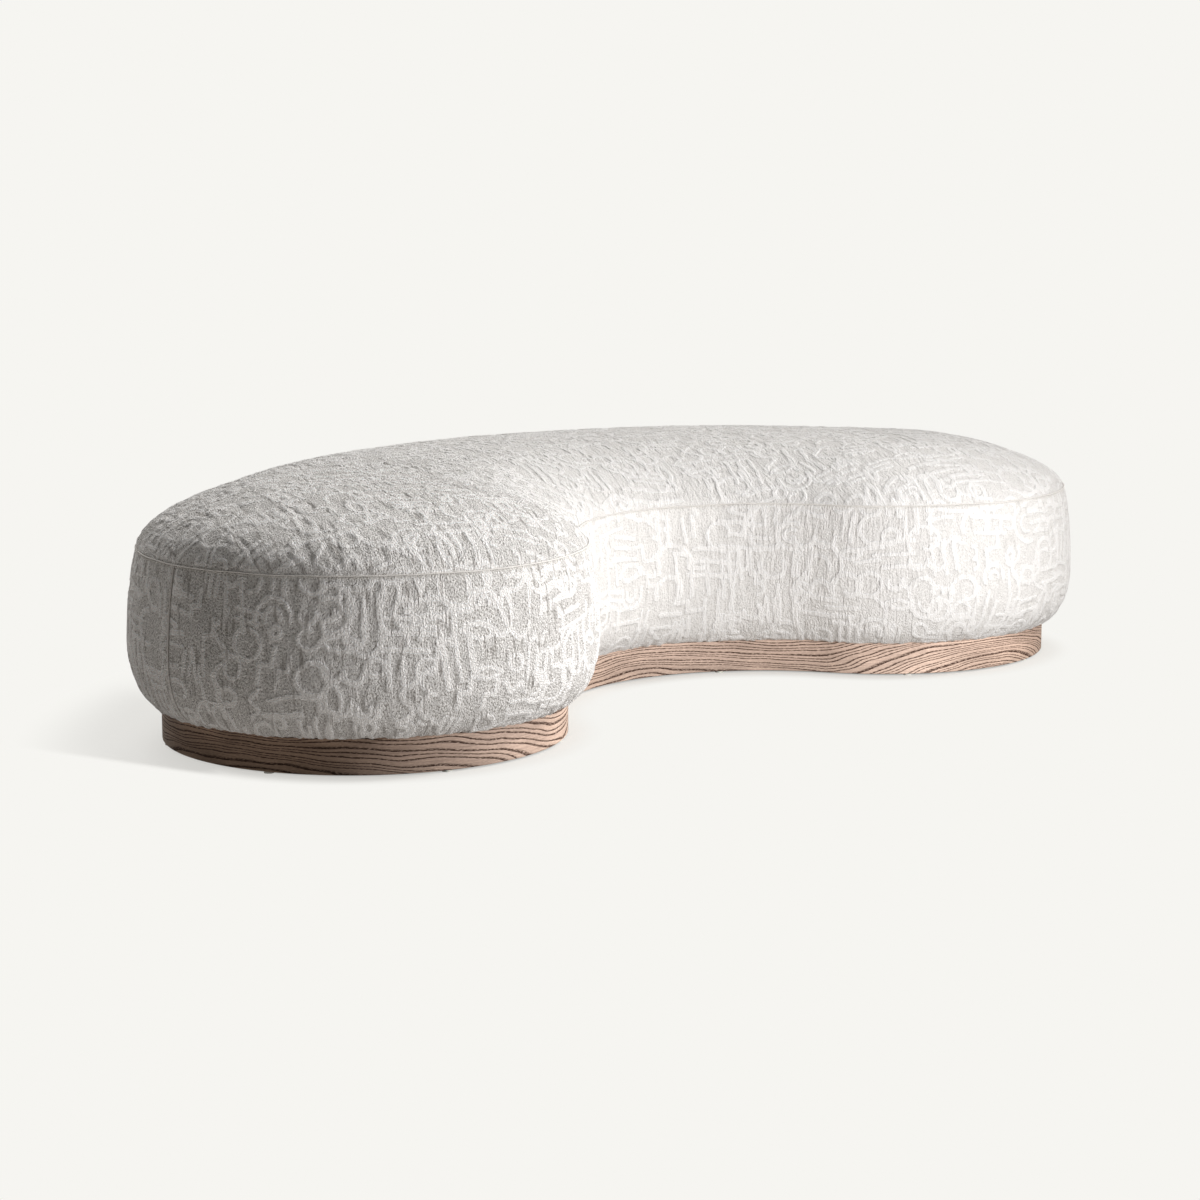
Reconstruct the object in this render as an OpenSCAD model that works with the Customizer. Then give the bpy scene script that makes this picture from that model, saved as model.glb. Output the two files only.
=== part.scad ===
/* [Plan] */
// Overall length, from one round end to the other
body_l = 2000; // [1860:10:2100]
// Radius of both round ends
lobe_r = 388; // [365:1:405]
// Direction in which a round end runs into the back, in degrees, which sets the back's radius
back_angle = 37.9; // [35:0.1:40]
// Direction in which a round end runs into the bay, in degrees, which sets the bay's radius
bay_angle = 29.3; // [27:0.1:31]

/* [Upholstered outline] */
// Height of the seam between the side band and the top panel
seam_z = 316; // [300:1:335]
// How far the seam is drawn in from the widest outline
seam_inset = 17; // [8:1:26]
// Height at which the side is widest
widest_z = 226; // [200:1:236]
// Squareness of the rounding under the side, where 2 is an ellipse
under_power = 2.8; // [2:0.1:4]
// Rise of the crown from the seam to the shoulder
crown_h = 82; // [60:1:95]
// Width of the crowned shoulder, from the seam to the nearly flat middle
crown_w = 176; // [140:1:190]
// Squareness of the crowned shoulder, where 2 is an ellipse
crown_power = 1.31; // [1.2:0.01:2]
// Further rise from the shoulder to the middle of the seat
middle_rise = 3; // [0:1:8]

/* [Cover and padding] */
// Thickness of the quilted chenille cover
cover_t = 2; // [1:0.5:4]
// Width of the cover's turn-under beneath the frame
hem_w = 44; // [30:1:60]
// How far the top seam stands proud of the cover
seam_proud = 2.4; // [1:0.1:4]
// Half of the height of the top seam's ridge
seam_half = 3; // [2:0.5:5]
// Width of the two upright seams in the side band
join_w = 4; // [3:0.5:6]
// How far the upright seams stand proud of the cover
join_proud = 1.2; // [0.6:0.1:2]
// Thickness of the polyester fibre wrap over the seat foam
wrap_t = 8; // [5:1:14]
// Clearance between two soft layers
soft_gap = 0.3; // [0.2:0.1:0.6]
// Thickness of the dust cloth under the frame
dust_t = 1; // [0.5:0.5:1.5]
// How far the dust cloth's edge lies inside the turn-under
dust_setback = 4; // [3:1:8]

/* [Plinth] */
// How far the plinth is set in from the widest outline
plinth_inset = 56; // [45:1:70]
// Height of the plinth's wall, without the glides
plinth_h = 59; // [50:1:75]
// Thickness of the bent laminated wall
wall_t = 18; // [14:1:24]
// Thickness of the flat ring that stiffens the wall
ring_t = 15; // [12:1:18]
// Width of the flat ring
ring_w = 80; // [66:1:100]
// Thickness of the cross ribs
rib_t = 15; // [12:1:21]
// Height of the ribs' lower edge above the floor
rib_lift = 10; // [6:1:16]
// Place of the first pair of ribs, as a share of the way to the round ends' centres
rib_share = 0.392; // [0.37:0.001:0.41]
// Length of the blocks glued behind the wall's joints
block_l = 80; // [60:1:100]
// Depth of the blocks behind the wall
block_w = 30; // [20:1:40]
// Gap of a glued wood joint
glue_gap = 0.2; // [0.1:0.05:0.4]
// Diameter of the nylon glides
glide_d = 16; // [12:1:18]
// Thickness of the nylon glides
glide_t = 3; // [2:1:5]

/* [Bolts between plinth and frame] */
// Shank diameter of the bolts
bolt_d = 8; // [6:1:10]
// Length of the bolts under the head
bolt_l = 40; // [38:1:50]
// Distance across the flats of the bolt heads
bolt_flats = 13; // [12:1:16]
// Height of the bolt heads
bolt_head_h = 5.3; // [4:0.1:7]
// Diameter of the washers
washer_d = 24; // [20:1:28]
// Thickness of the washers
washer_t = 1.6; // [1:0.1:2.5]
// Diameter of the tee nuts' flanges
tee_flange_d = 26; // [22:1:30]
// Thickness of the tee nuts' flanges
tee_flange_t = 1.6; // [1:0.1:2.5]
// Wall of the tee nuts' barrels
tee_wall = 1.2; // [0.8:0.1:2]
// Length of the tee nuts' barrels
tee_l = 14; // [8:1:15]
// Radial clearance round a bolt or a barrel
bolt_gap = 0.3; // [0.2:0.1:0.6]

/* [Frame] */
// Thickness of the base board and of the deck
board_t = 18; // [15:1:21]
// How far the frame is set in behind the plinth's face
board_setback = 3; // [3:0.5:8]
// Clear height between the base board and the deck
frame_h = 156; // [145:1:160]
// Thickness of the bulkheads and the spine
bulkhead_t = 18; // [15:1:21]
// Height of the bulkheads and the spine in the middle, under the webbing
web_h = 96; // [70:1:120]
// Place of the first pair of bulkheads, as a share of the way to the round ends' centres
bulkhead_share = 0.49; // [0.46:0.01:0.54]
// How far the spine lies behind the line through the round ends' centres
spine_setback = 209; // [190:1:240]
// Clearance of a slot or a board between its neighbours
fit_gap = 0.3; // [0.2:0.1:0.6]
// Thickness of the bending plywood liner
liner_t = 6; // [4:1:8]
// Height of the liner's lower edge above the base board's underside
liner_lift = 6; // [5:1:12]
// Width of the deck's rim
deck_w = 90; // [75:1:110]
// Leg of the triangular glue blocks
corner_leg = 40; // [30:1:50]
// Height of the triangular glue blocks
corner_h = 60; // [40:1:90]
// Shank diameter of the deck screws
screw_d = 4; // [3:0.5:5]
// Head diameter of the deck screws
screw_head_d = 8; // [7:0.5:10]
// Length of the deck screws
screw_l = 45; // [35:1:55]

/* [Webbing] */
// Width of a strap
strap_w = 50; // [40:5:55]
// Thickness of a strap
strap_t = 2; // [1.5:0.5:3]
// Distance from one strap to the next
strap_pitch = 96; // [90:1:120]
// How far the straps lie on the deck's rim
strap_hold = 70; // [50:5:75]

/* [Hidden] */
$fn = 180;
into_body = -1;

// The outline is four arcs that run into each other: two round ends, the back and the bay.
lobe_x = body_l / 2 - lobe_r;
back_r = lobe_x / cos(back_angle) + lobe_r;
bay_r = lobe_x / cos(bay_angle) - lobe_r;
back_drop = lobe_x * tan(back_angle);
bay_drop = lobe_x * tan(bay_angle);
lobe_y = (lobe_r - back_r + back_drop) / 2;
back_y = lobe_y - back_drop;
bay_y = lobe_y - bay_drop;
lobe_turn = 180 + back_angle - bay_angle;
reach = back_r + lobe_r;

// Heights, from the floor up
plinth_top = glide_t + plinth_h;
ring_z = plinth_top - ring_t;
base_z = plinth_top + cover_t;
base_top = base_z + board_t;
deck_z = base_top + frame_h;
deck_top = deck_z + board_t;
seat_z = deck_top + strap_t;
top_z = seam_z + crown_h + middle_rise;

// Insets from the widest outline, from the outside in
wall_in = plinth_inset + wall_t;
ring_in = wall_in + ring_w;
hem_in = plinth_inset + hem_w;
frame_in = plinth_inset + board_setback;
deck_in = frame_in + deck_w;
bolt_in = wall_in + ring_w / 2;
screw_in = frame_in + deck_w / 2;
liner_in = frame_in - glue_gap;
liner_out = liner_in - liner_t;

rib_xs = lobe_x * [-1, -rib_share, 0, rib_share, 1];
bulkhead_xs = lobe_x * [-1, -bulkhead_share, 0, bulkhead_share, 1];
spine_y = lobe_y + spine_setback;

// Places along the arcs, as degrees round each arc's own centre
lobe_bolt_angles = [-105, -15];
back_bolt_angles = [60, 80, 100, 120];
bay_bolt_angles = [72, 108];
lobe_glide_angles = [-125, -75, -25, 25];
back_glide_angles = [50, 75, 105, 130];
bay_glide_angles = [60, 120];

function on_lobe(side, angle, inset) =
    [side * (lobe_x + (lobe_r - inset) * cos(angle)), lobe_y + (lobe_r - inset) * sin(angle)];
function on_back(angle, inset) = [(back_r - inset) * cos(angle), back_y + (back_r - inset) * sin(angle)];
function on_bay(angle, inset) = [(bay_r + inset) * cos(angle), bay_y + (bay_r + inset) * sin(angle)];
function round_the_plan(lobe_angles, back_angles, bay_angles, inset) = concat(
    [for (side = [-1, 1]) for (angle = lobe_angles) on_lobe(side, angle, inset)],
    [for (angle = back_angles) on_back(angle, inset)],
    [for (angle = bay_angles) on_bay(angle, inset)]
);
bolt_spots = round_the_plan(lobe_bolt_angles, back_bolt_angles, bay_bolt_angles, bolt_in);
glide_in = plinth_inset + wall_t / 2;
glide_spots = round_the_plan(lobe_glide_angles, back_glide_angles, bay_glide_angles, glide_in);

// The y of the outline on the back and on the front, at a given x and inset
function back_edge(x, inset) = abs(x) < (back_r - inset) * cos(back_angle)
    ? back_y + sqrt(pow(back_r - inset, 2) - x * x)
    : lobe_y + sqrt(pow(lobe_r - inset, 2) - pow(abs(x) - lobe_x, 2));
function front_edge(x, inset) = abs(x) < (bay_r + inset) * cos(bay_angle)
    ? bay_y + sqrt(pow(bay_r + inset, 2) - x * x)
    : lobe_y - sqrt(pow(lobe_r - inset, 2) - pow(abs(x) - lobe_x, 2));
screw_spots = [for (x = bulkhead_xs) for (y = [front_edge(x, screw_in), back_edge(x, screw_in)]) [x, y]];

// Stations round the outline, each its x and y and the x and y of the way inwards
front_steps = 14;
rear_steps = 4;
run_steps = 14;
lobe_steps = front_steps + rear_steps;
right_end = front_steps;
back_start = lobe_steps;
left_start = back_start + run_steps;
left_end = left_start + rear_steps;
bay_start = left_start + lobe_steps;
around = bay_start + run_steps;
function arc_stations(centre, r, from, to, steps, inwards) = [
    for (k = [0:steps - 1])
        let (angle = from + (to - from) * k / steps, way = [cos(angle), sin(angle)])
            concat(centre + r * way, inwards * way)
];
stations = concat(
    arc_stations([lobe_x, lobe_y], lobe_r, bay_angle - 180, 0, front_steps, into_body),
    arc_stations([lobe_x, lobe_y], lobe_r, 0, back_angle, rear_steps, into_body),
    arc_stations([0, back_y], back_r, back_angle, 180 - back_angle, run_steps, into_body),
    arc_stations([-lobe_x, lobe_y], lobe_r, 180 - back_angle, 180, rear_steps, into_body),
    arc_stations([-lobe_x, lobe_y], lobe_r, 180, 360 - bay_angle, front_steps, into_body),
    arc_stations([0, bay_y], bay_r, 180 - bay_angle, bay_angle, run_steps, -into_body)
);
function at(station, place) =
    [station[0] + place[0] * station[2], station[1] + place[0] * station[3], place[1]];

// The cover's outer skin as inset and height, from the turn-under up to the shoulder
under_steps = 4;
crown_steps = 5;
function side_inset(z) = seam_inset * pow((z - widest_z) / (seam_z - widest_z), 2);
side_skin = concat(
    [[hem_in, plinth_top]],
    [for (k = [0:under_steps]) let (turn = 90 * k / under_steps) [
        plinth_inset * (1 - pow(sin(turn), 2 / under_power)),
        plinth_top + (widest_z - plinth_top) * (1 - pow(cos(turn), 2 / under_power))
    ]],
    [for (z = [seat_z, (seat_z + seam_z) / 2, seam_z]) [side_inset(z), z]]
);
crown_skin = [for (k = [1:crown_steps]) let (turn = 90 * k / crown_steps) [
    seam_inset + crown_w * (1 - pow(cos(turn), 2 / crown_power)),
    seam_z + crown_h * pow(sin(turn), 2 / crown_power)
]];
skin = concat(side_skin, crown_skin);
shoulder_k = len(skin) - 1;
seam_k = len(side_skin) - 1;
split_k = seam_k - 2;
under_k = 1;

// The same skin moved inwards by a depth, square to itself
function inside(depth) = [
    for (k = [0:shoulder_k])
        let (run = skin[min(k + 1, shoulder_k)] - skin[max(k - 1, 0)], way = run / norm(run))
            skin[k] + depth * [way[1], -way[0]]
];
function part_of(list, first, last) = [for (k = [first:last]) list[k]];
function backwards(list) = [for (k = [len(list) - 1:-1:0]) list[k]];

cover_inner = inside(cover_t);
band_pad = inside(cover_t + soft_gap);
wrap_inner = inside(cover_t + soft_gap + wrap_t);
seat_skin = inside(cover_t + wrap_t + 2 * soft_gap);

// The bean-shaped outline, set in by an inset
module bean(inset = 0) {
    for (side = [-1, 1])
        translate([side * lobe_x, lobe_y]) circle(r = lobe_r - inset);
    difference() {
        intersection() {
            translate([0, back_y]) circle(r = back_r - inset);
            polygon([
                [0, bay_y],
                [lobe_x, lobe_y],
                [reach * cos(back_angle), back_y + reach * sin(back_angle)],
                [reach * cos(back_angle), back_y + reach],
                [-reach * cos(back_angle), back_y + reach],
                [-reach * cos(back_angle), back_y + reach * sin(back_angle)],
                [-lobe_x, lobe_y]
            ]);
        }
        translate([0, bay_y]) circle(r = bay_r + inset);
    }
}

module bean_ring(outer, inner) {
    difference() {
        bean(outer);
        bean(inner);
    }
}

module board(z, thickness) {
    translate([0, 0, z]) linear_extrude(thickness) children();
}

// Cross pieces that run from front to back at each x
module cross_strips(xs, thickness) {
    for (x = xs)
        translate([x - thickness / 2, -reach]) square([thickness, 2 * reach]);
}

module posts(spots, z, d, h) {
    for (spot = spots)
        translate([spot[0], spot[1], z]) cylinder(d = d, h = h);
}

// Bent pieces: a section drawn as inset and height, turned about one arc's centre
function trim(r) = glue_gap / 2 / r * 180 / PI;
module bent(centre, r, from, turn) {
    translate(centre) rotate(from + trim(r)) rotate_extrude(angle = turn - 2 * trim(r)) children();
}
module bent_lobe() {
    bent([lobe_x, lobe_y], lobe_r, bay_angle - 180, lobe_turn)
        translate([lobe_r, 0]) mirror([1, 0]) children();
}
module bent_back() {
    bent([0, back_y], back_r, back_angle, 180 - 2 * back_angle)
        translate([back_r, 0]) mirror([1, 0]) children();
}
module bent_bay() {
    bent([0, bay_y], bay_r, bay_angle, 180 - 2 * bay_angle) translate([bay_r, 0]) children();
}
module wall_section() {
    translate([plinth_inset, glide_t]) square([wall_t, plinth_h]);
}

// A soft layer between two skins, along some of the stations; it closes on itself all round
module layer(outer, inner, first, steps) {
    loop = concat(outer, backwards(inner));
    m = len(outer);
    n = len(loop);
    closed = steps == around;
    rows = closed ? steps : steps + 1;
    points = [for (s = [0:rows - 1]) for (place = loop) at(stations[(first + s) % around], place)];
    walls = [
        for (s = [0:steps - 1]) for (q = [0:n - 1])
            let (a = s * n + q, d = s * n + (q + 1) % n, b = (a + n) % (rows * n), c = (d + n) % (rows * n))
                each [[a, d, c], [a, c, b]]
    ];
    start_cap = [for (k = [0:m - 2]) each [[k, n - 1 - k, n - 2 - k], [k, n - 2 - k, k + 1]]];
    end = (rows - 1) * n;
    end_cap = [for (face = start_cap) [for (p = backwards(face)) p + end]];
    polyhedron(points, closed ? walls : concat(walls, start_cap, end_cap));
}

// The line along the middle of the plan to which a top or a bottom closes
function spine_of(inset) = [for (j = [0:run_steps])
    j == 0 ? [lobe_x, lobe_y]
    : j == run_steps ? [-lobe_x, lobe_y]
    : let (
        p = at(stations[back_start + j], [inset, 0]),
        q = at(stations[around - j], [inset, 0])
    ) [(p[0] + q[0]) / 2, (p[1] + q[1]) / 2]
];
// For each station, the spine's point that it closes to
function spine_index(s) = s % around <= back_start ? 0
    : s < left_start ? s - back_start
    : s <= bay_start ? run_steps
    : around - s;

// A soft form of rings all round, closed to the spine before the first and after the last
module cushion(rings, start_z, end_z) {
    count = len(rings);
    start_spine = count * around;
    end_spine = start_spine + run_steps + 1;
    points = concat(
        [for (ring = rings) for (s = [0:around - 1]) at(stations[s], ring)],
        [for (p = spine_of(rings[0][0])) [p[0], p[1], start_z]],
        [for (p = spine_of(rings[count - 1][0])) [p[0], p[1], end_z]]
    );
    walls = [
        for (k = [0:count - 2]) for (s = [0:around - 1])
            let (a = k * around + s, b = k * around + (s + 1) % around)
                each [[a, a + around, b + around], [a, b + around, b]]
    ];
    caps = [
        for (s = [0:around - 1])
            let (
                t = (s + 1) % around, i = spine_index(s), j = spine_index(s + 1),
                last = (count - 1) * around
            )
                each concat(
                    [[s, t, start_spine + i], [last + s, end_spine + i, last + t]],
                    i == j ? [] : [
                        [t, start_spine + j, start_spine + i],
                        [last + t, end_spine + i, end_spine + j]
                    ]
                )
    ];
    polyhedron(points, concat(walls, caps));
}

module floor_glides() {
    color("#d8d5cc") posts(glide_spots, 0, glide_d, glide_t);
}

module plinth_wall_right() {
    color("#8b7360") bent_lobe() wall_section();
}

module plinth_wall_left() {
    color("#8b7360") mirror([1, 0, 0]) bent_lobe() wall_section();
}

module plinth_wall_back() {
    color("#8b7360") bent_back() wall_section();
}

module plinth_wall_bay() {
    color("#8b7360") bent_bay() wall_section();
}

module plinth_ring() {
    color("#c9a877") difference() {
        board(ring_z, ring_t) bean_ring(wall_in + glue_gap, ring_in);
        posts(bolt_spots, ring_z - ring_t, bolt_d + 2 * bolt_gap, 3 * ring_t);
    }
}

// The ribs stand between the walls and are notched round the ring above them
module plinth_ribs() {
    color("#c9a877") {
        board(rib_lift, ring_z - glue_gap - rib_lift) intersection() {
            bean(wall_in + glue_gap);
            cross_strips(rib_xs, rib_t);
        }
        board(rib_lift, plinth_top - rib_lift) intersection() {
            bean(ring_in + glue_gap);
            cross_strips(rib_xs, rib_t);
        }
    }
}

module splice_block_plan(centre, angle, near) {
    translate(centre) rotate(angle) translate([near, -block_l / 2]) square([3 * block_w, block_l]);
}

// Blocks behind the four joints of the wall, cut to its curve
module plinth_splice_blocks() {
    color("#c9a877") board(rib_lift, ring_z - glue_gap - rib_lift) intersection() {
        bean_ring(wall_in + glue_gap, wall_in + glue_gap + block_w);
        for (side = [0, 1]) mirror([side, 0]) {
            splice_block_plan([0, back_y], back_angle, back_r - wall_in - 2 * block_w);
            splice_block_plan([0, bay_y], bay_angle, bay_r + wall_in - block_w);
        }
    }
}

module plinth_bolts() {
    color("#a9abad") for (spot = bolt_spots)
        translate([spot[0], spot[1], ring_z - washer_t]) {
            translate([0, 0, -bolt_head_h]) cylinder(d = bolt_flats / cos(30), h = bolt_head_h, $fn = 6);
            cylinder(d = bolt_d, h = bolt_l);
        }
}

module plinth_washers() {
    color("#b9bbbd") difference() {
        posts(bolt_spots, ring_z - washer_t, washer_d, washer_t);
        posts(bolt_spots, ring_z - 2 * washer_t, bolt_d + 2 * bolt_gap, 3 * washer_t);
    }
}

tee_d = bolt_d + 2 * bolt_gap + 2 * tee_wall;
module tee_nuts() {
    color("#b9bbbd") difference() {
        union() {
            posts(bolt_spots, base_top, tee_flange_d, tee_flange_t);
            posts(bolt_spots, base_top - tee_l, tee_d, tee_l + tee_flange_t / 2);
        }
        posts(bolt_spots, base_z, bolt_d + bolt_gap, 2 * board_t);
    }
}

module base_board() {
    color("#c9a877") difference() {
        board(base_z, board_t) bean(frame_in);
        posts(bolt_spots, base_z - board_t, tee_d + 2 * bolt_gap, 3 * board_t);
    }
}

// An upright board's plan, low in the middle and full height under the deck's rim
module dished(height, low) {
    board(base_top, low) intersection() {
        bean(frame_in + fit_gap);
        children();
    }
    board(base_top, height) intersection() {
        bean_ring(frame_in + fit_gap, deck_in);
        children();
    }
}

lap_z = base_top + web_h / 2;
module spine_strip(thickness) {
    translate([-reach, spine_y - thickness / 2]) square([2 * reach, thickness]);
}

// The spine and the bulkheads are halved into each other at every crossing
module frame_spine() {
    color("#c9a877") difference() {
        dished(frame_h, web_h) spine_strip(bulkhead_t);
        board(base_z, lap_z + fit_gap / 2 - base_z) cross_strips(bulkhead_xs, bulkhead_t + 2 * fit_gap);
    }
}

module frame_bulkheads() {
    color("#c9a877") difference() {
        dished(frame_h, web_h) cross_strips(bulkhead_xs, bulkhead_t);
        board(lap_z - fit_gap / 2, frame_h) spine_strip(bulkhead_t + 2 * fit_gap);
        posts(screw_spots, deck_z - screw_l, screw_d + fit_gap, 2 * screw_l);
    }
}

module corner_plan() {
    polygon([[0, 0], [corner_leg, 0], [0, corner_leg]]);
}

module frame_glue_blocks() {
    shift = bulkhead_t / 2 + fit_gap + glue_gap;
    color("#dcc198") for (x = bulkhead_xs)
        translate([x, spine_y]) for (side = [0, 1]) mirror([side, 0])
            translate([shift, shift]) board(base_top, corner_h) corner_plan();
}

module seat_deck() {
    color("#c9a877") difference() {
        board(deck_z, board_t) bean_ring(frame_in, deck_in);
        posts(screw_spots, deck_z - board_t, screw_d + fit_gap, 3 * board_t);
        for (spot = screw_spots) translate([spot[0], spot[1], deck_top - sink_h])
            cylinder(d1 = screw_d + fit_gap, d2 = screw_head_d + 2 * fit_gap, h = sink_h);
    }
}

sink_h = (screw_head_d - screw_d) / 2 + fit_gap;
module deck_screws() {
    color("#8f9193") for (spot = screw_spots) translate([spot[0], spot[1], deck_top]) {
        translate([0, 0, -screw_l]) cylinder(d = screw_d, h = screw_l);
        translate([0, 0, fit_gap - sink_h])
            cylinder(d1 = screw_d, d2 = screw_head_d, h = sink_h - fit_gap);
    }
}

module frame_liner() {
    color("#d3b588") board(base_z + liner_lift, deck_top - base_z - liner_lift)
        bean_ring(liner_out, liner_in);
}

// Straps lie square to the bench: fanned about the back's centre, then side by side over the ends
fan_step = strap_pitch / (back_r - lobe_r) * 180 / PI;
fan_count = floor((90 - back_angle) / fan_step);
end_count = floor((lobe_r - frame_in - strap_hold) / strap_pitch);
module strap(along) {
    translate([along - strap_w / 2, 0]) square([strap_w, reach]);
}
module straps() {
    translate([0, back_y]) for (k = [-fan_count:fan_count]) rotate(k * fan_step) strap(0);
    for (side = [0, 1]) mirror([side, 0])
        translate([0, back_y]) rotate(-fan_count * fan_step)
            for (k = [1:end_count]) strap(k * strap_pitch);
}
module seat_webbing() {
    color("#4a4a4c") board(deck_top, strap_t) intersection() {
        bean(deck_in - strap_hold);
        straps();
    }
}

// The pads' flat facets stay clear of the liner's true arcs, which bulge between the stations
function pad_inset(r, turn, steps) = r - (r - liner_out + soft_gap) / cos(turn / steps / 2);
lobe_pad_in = pad_inset(lobe_r, 180 - bay_angle, front_steps);
back_pad_in = pad_inset(back_r, 180 - 2 * back_angle, run_steps);
bay_pad_in = liner_out - soft_gap;
// A pad's lower edge lies on the cover where the cover starts to rise under the side
module side_pad(inner, first, steps) {
    low = band_pad[under_k];
    next = band_pad[under_k + 1];
    edge = [inner, low[1] + (next[1] - low[1]) * (low[0] - inner) / (low[0] - next[0])];
    face = part_of(band_pad, under_k + 1, split_k);
    color("#e9dfae") layer(
        concat([edge], face),
        concat([edge], [for (place = face) [inner, place[1]]]),
        first,
        steps
    );
}

module side_foam_right() {
    side_pad(lobe_pad_in, 0, lobe_steps);
}

module side_foam_left() {
    side_pad(lobe_pad_in, left_start, lobe_steps);
}

module side_foam_back() {
    side_pad(back_pad_in, back_start, run_steps);
}

module side_foam_bay() {
    side_pad(bay_pad_in, bay_start, run_steps);
}

module seat_foam() {
    foot = [band_pad[split_k][0], seat_z + soft_gap];
    color("#f0e7bd") cushion(
        concat([foot], part_of(band_pad, split_k + 1, seam_k), part_of(seat_skin, seam_k, shoulder_k)),
        seat_z + soft_gap,
        top_z - cover_t - wrap_t - 2 * soft_gap
    );
}

// A shell runs from its inner middle down to its lower edge and up again to its outer middle
module crown_shell(outer, inner, outer_z, inner_z) {
    cushion(
        concat(backwards(part_of(inner, seam_k, shoulder_k)), part_of(outer, seam_k, shoulder_k)),
        inner_z,
        outer_z
    );
}

module fibre_wrap() {
    color("#fbfbf8") crown_shell(
        band_pad, wrap_inner,
        top_z - cover_t - soft_gap, top_z - cover_t - soft_gap - wrap_t
    );
}

module cover_top() {
    color("#e4e0d8") crown_shell(skin, cover_inner, top_z, top_z - cover_t);
}

module cover_band(first, steps) {
    color("#dedad1") layer(part_of(skin, 0, seam_k), part_of(cover_inner, 0, seam_k), first, steps);
}

module cover_band_front() {
    cover_band(left_end, around - left_end + right_end);
}

module cover_band_back() {
    cover_band(right_end, left_end - right_end);
}

// The raised edge of the seam, from just under it on the band to just above it on the crown
module top_seam() {
    seam = skin[seam_k];
    down = skin[seam_k - 1] - seam;
    up = skin[seam_k + 1] - seam;
    low = seam + seam_half * down / norm(down);
    high = seam + seam_half * up / norm(up);
    lip = [-seam_proud, 0];
    color("#d8d3c9") layer([low + lip / 2, seam + lip, high + lip / 2], [low, seam, high], 0, around);
}

// An upright ridge over the joint of the two side bands at each end of the sofa
module upright_seam(side) {
    rows = under_k + 1;
    face = part_of(skin, rows, seam_k - 1);
    n = len(face);
    front = [for (y = [-join_w / 2, join_w / 2]) for (place = face)
        [side * (body_l / 2 - place[0] + join_proud), lobe_y + y / 2, place[1]]];
    rear = [for (y = [-join_w / 2, join_w / 2]) for (place = face)
        [side * (body_l / 2 - place[0]), lobe_y + y, place[1]]];
    points = concat(front, rear);
    strip = function (a, b)
        [for (k = [0:n - 2]) each [[a + k, b + k, b + k + 1], [a + k, b + k + 1, a + k + 1]]];
    faces = concat(
        strip(0, n), strip(n, 3 * n), strip(3 * n, 2 * n), strip(2 * n, 0),
        [[0, 2 * n, 3 * n], [0, 3 * n, n]],
        [[n - 1, 2 * n - 1, 4 * n - 1], [n - 1, 4 * n - 1, 3 * n - 1]]
    );
    polyhedron(points, side > 0 ? faces : [for (face = faces) backwards(face)]);
}
module band_seams() {
    color("#d8d3c9") for (side = [-1, 1]) upright_seam(side);
}

module dust_cloth() {
    color("#3b3b3d") difference() {
        board(base_z - dust_t, dust_t) bean(hem_in + dust_setback);
        posts(bolt_spots, base_z - 2 * dust_t, bolt_d + 2 * bolt_gap, 3 * dust_t);
    }
}

floor_glides();
plinth_wall_left();
plinth_wall_right();
plinth_wall_back();
plinth_wall_bay();
plinth_ring();
plinth_ribs();
plinth_splice_blocks();
plinth_bolts();
plinth_washers();
tee_nuts();
base_board();
frame_spine();
frame_bulkheads();
frame_glue_blocks();
seat_deck();
deck_screws();
frame_liner();
seat_webbing();
side_foam_left();
side_foam_right();
side_foam_back();
side_foam_bay();
seat_foam();
fibre_wrap();
cover_top();
cover_band_front();
cover_band_back();
top_seam();
band_seams();
dust_cloth();
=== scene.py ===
"""Low sofa, bean-shaped in plan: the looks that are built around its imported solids."""

import math
from functools import partial
from types import SimpleNamespace

import bmesh
import bpy
import numpy as np
from bpy.props import FloatProperty, FloatVectorProperty, IntProperty, PointerProperty
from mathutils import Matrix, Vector


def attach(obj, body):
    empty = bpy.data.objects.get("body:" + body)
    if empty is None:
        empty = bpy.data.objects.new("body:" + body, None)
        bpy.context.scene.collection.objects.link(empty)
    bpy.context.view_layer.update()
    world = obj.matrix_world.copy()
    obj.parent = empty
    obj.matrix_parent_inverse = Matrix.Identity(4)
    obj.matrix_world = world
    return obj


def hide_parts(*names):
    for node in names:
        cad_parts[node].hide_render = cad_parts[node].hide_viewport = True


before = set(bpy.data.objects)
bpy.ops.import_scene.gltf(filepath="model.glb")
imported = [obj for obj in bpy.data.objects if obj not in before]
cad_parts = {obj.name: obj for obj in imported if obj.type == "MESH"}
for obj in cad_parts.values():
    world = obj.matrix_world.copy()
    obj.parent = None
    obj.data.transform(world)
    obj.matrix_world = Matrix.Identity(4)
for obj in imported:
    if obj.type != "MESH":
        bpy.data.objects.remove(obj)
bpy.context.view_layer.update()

bl_info = {
    "name": "Low Sofa",
    "version": (1, 0, 0),
    "blender": (4, 5, 0),
    "location": "3D View > Sidebar > Low Sofa",
    "description": "Dresses the packed solids of a low, bean-shaped sofa in quilted cloth and stained ash",
    "category": "Object",
}

MM = 0.001
BODY = "root"

# The plan's four arcs in millimetres and degrees, as in the solids
BODY_L, LOBE_R = 2000.0, 388.0
BACK_ANGLE, BAY_ANGLE = 37.9, 29.3
LOBE_X = BODY_L / 2 - LOBE_R
BACK_R = LOBE_X / math.cos(math.radians(BACK_ANGLE)) + LOBE_R
BAY_R = LOBE_X / math.cos(math.radians(BAY_ANGLE)) - LOBE_R
BACK_DROP = LOBE_X * math.tan(math.radians(BACK_ANGLE))
BAY_DROP = LOBE_X * math.tan(math.radians(BAY_ANGLE))
LOBE_Y = (LOBE_R - BACK_R + BACK_DROP) / 2
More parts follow.
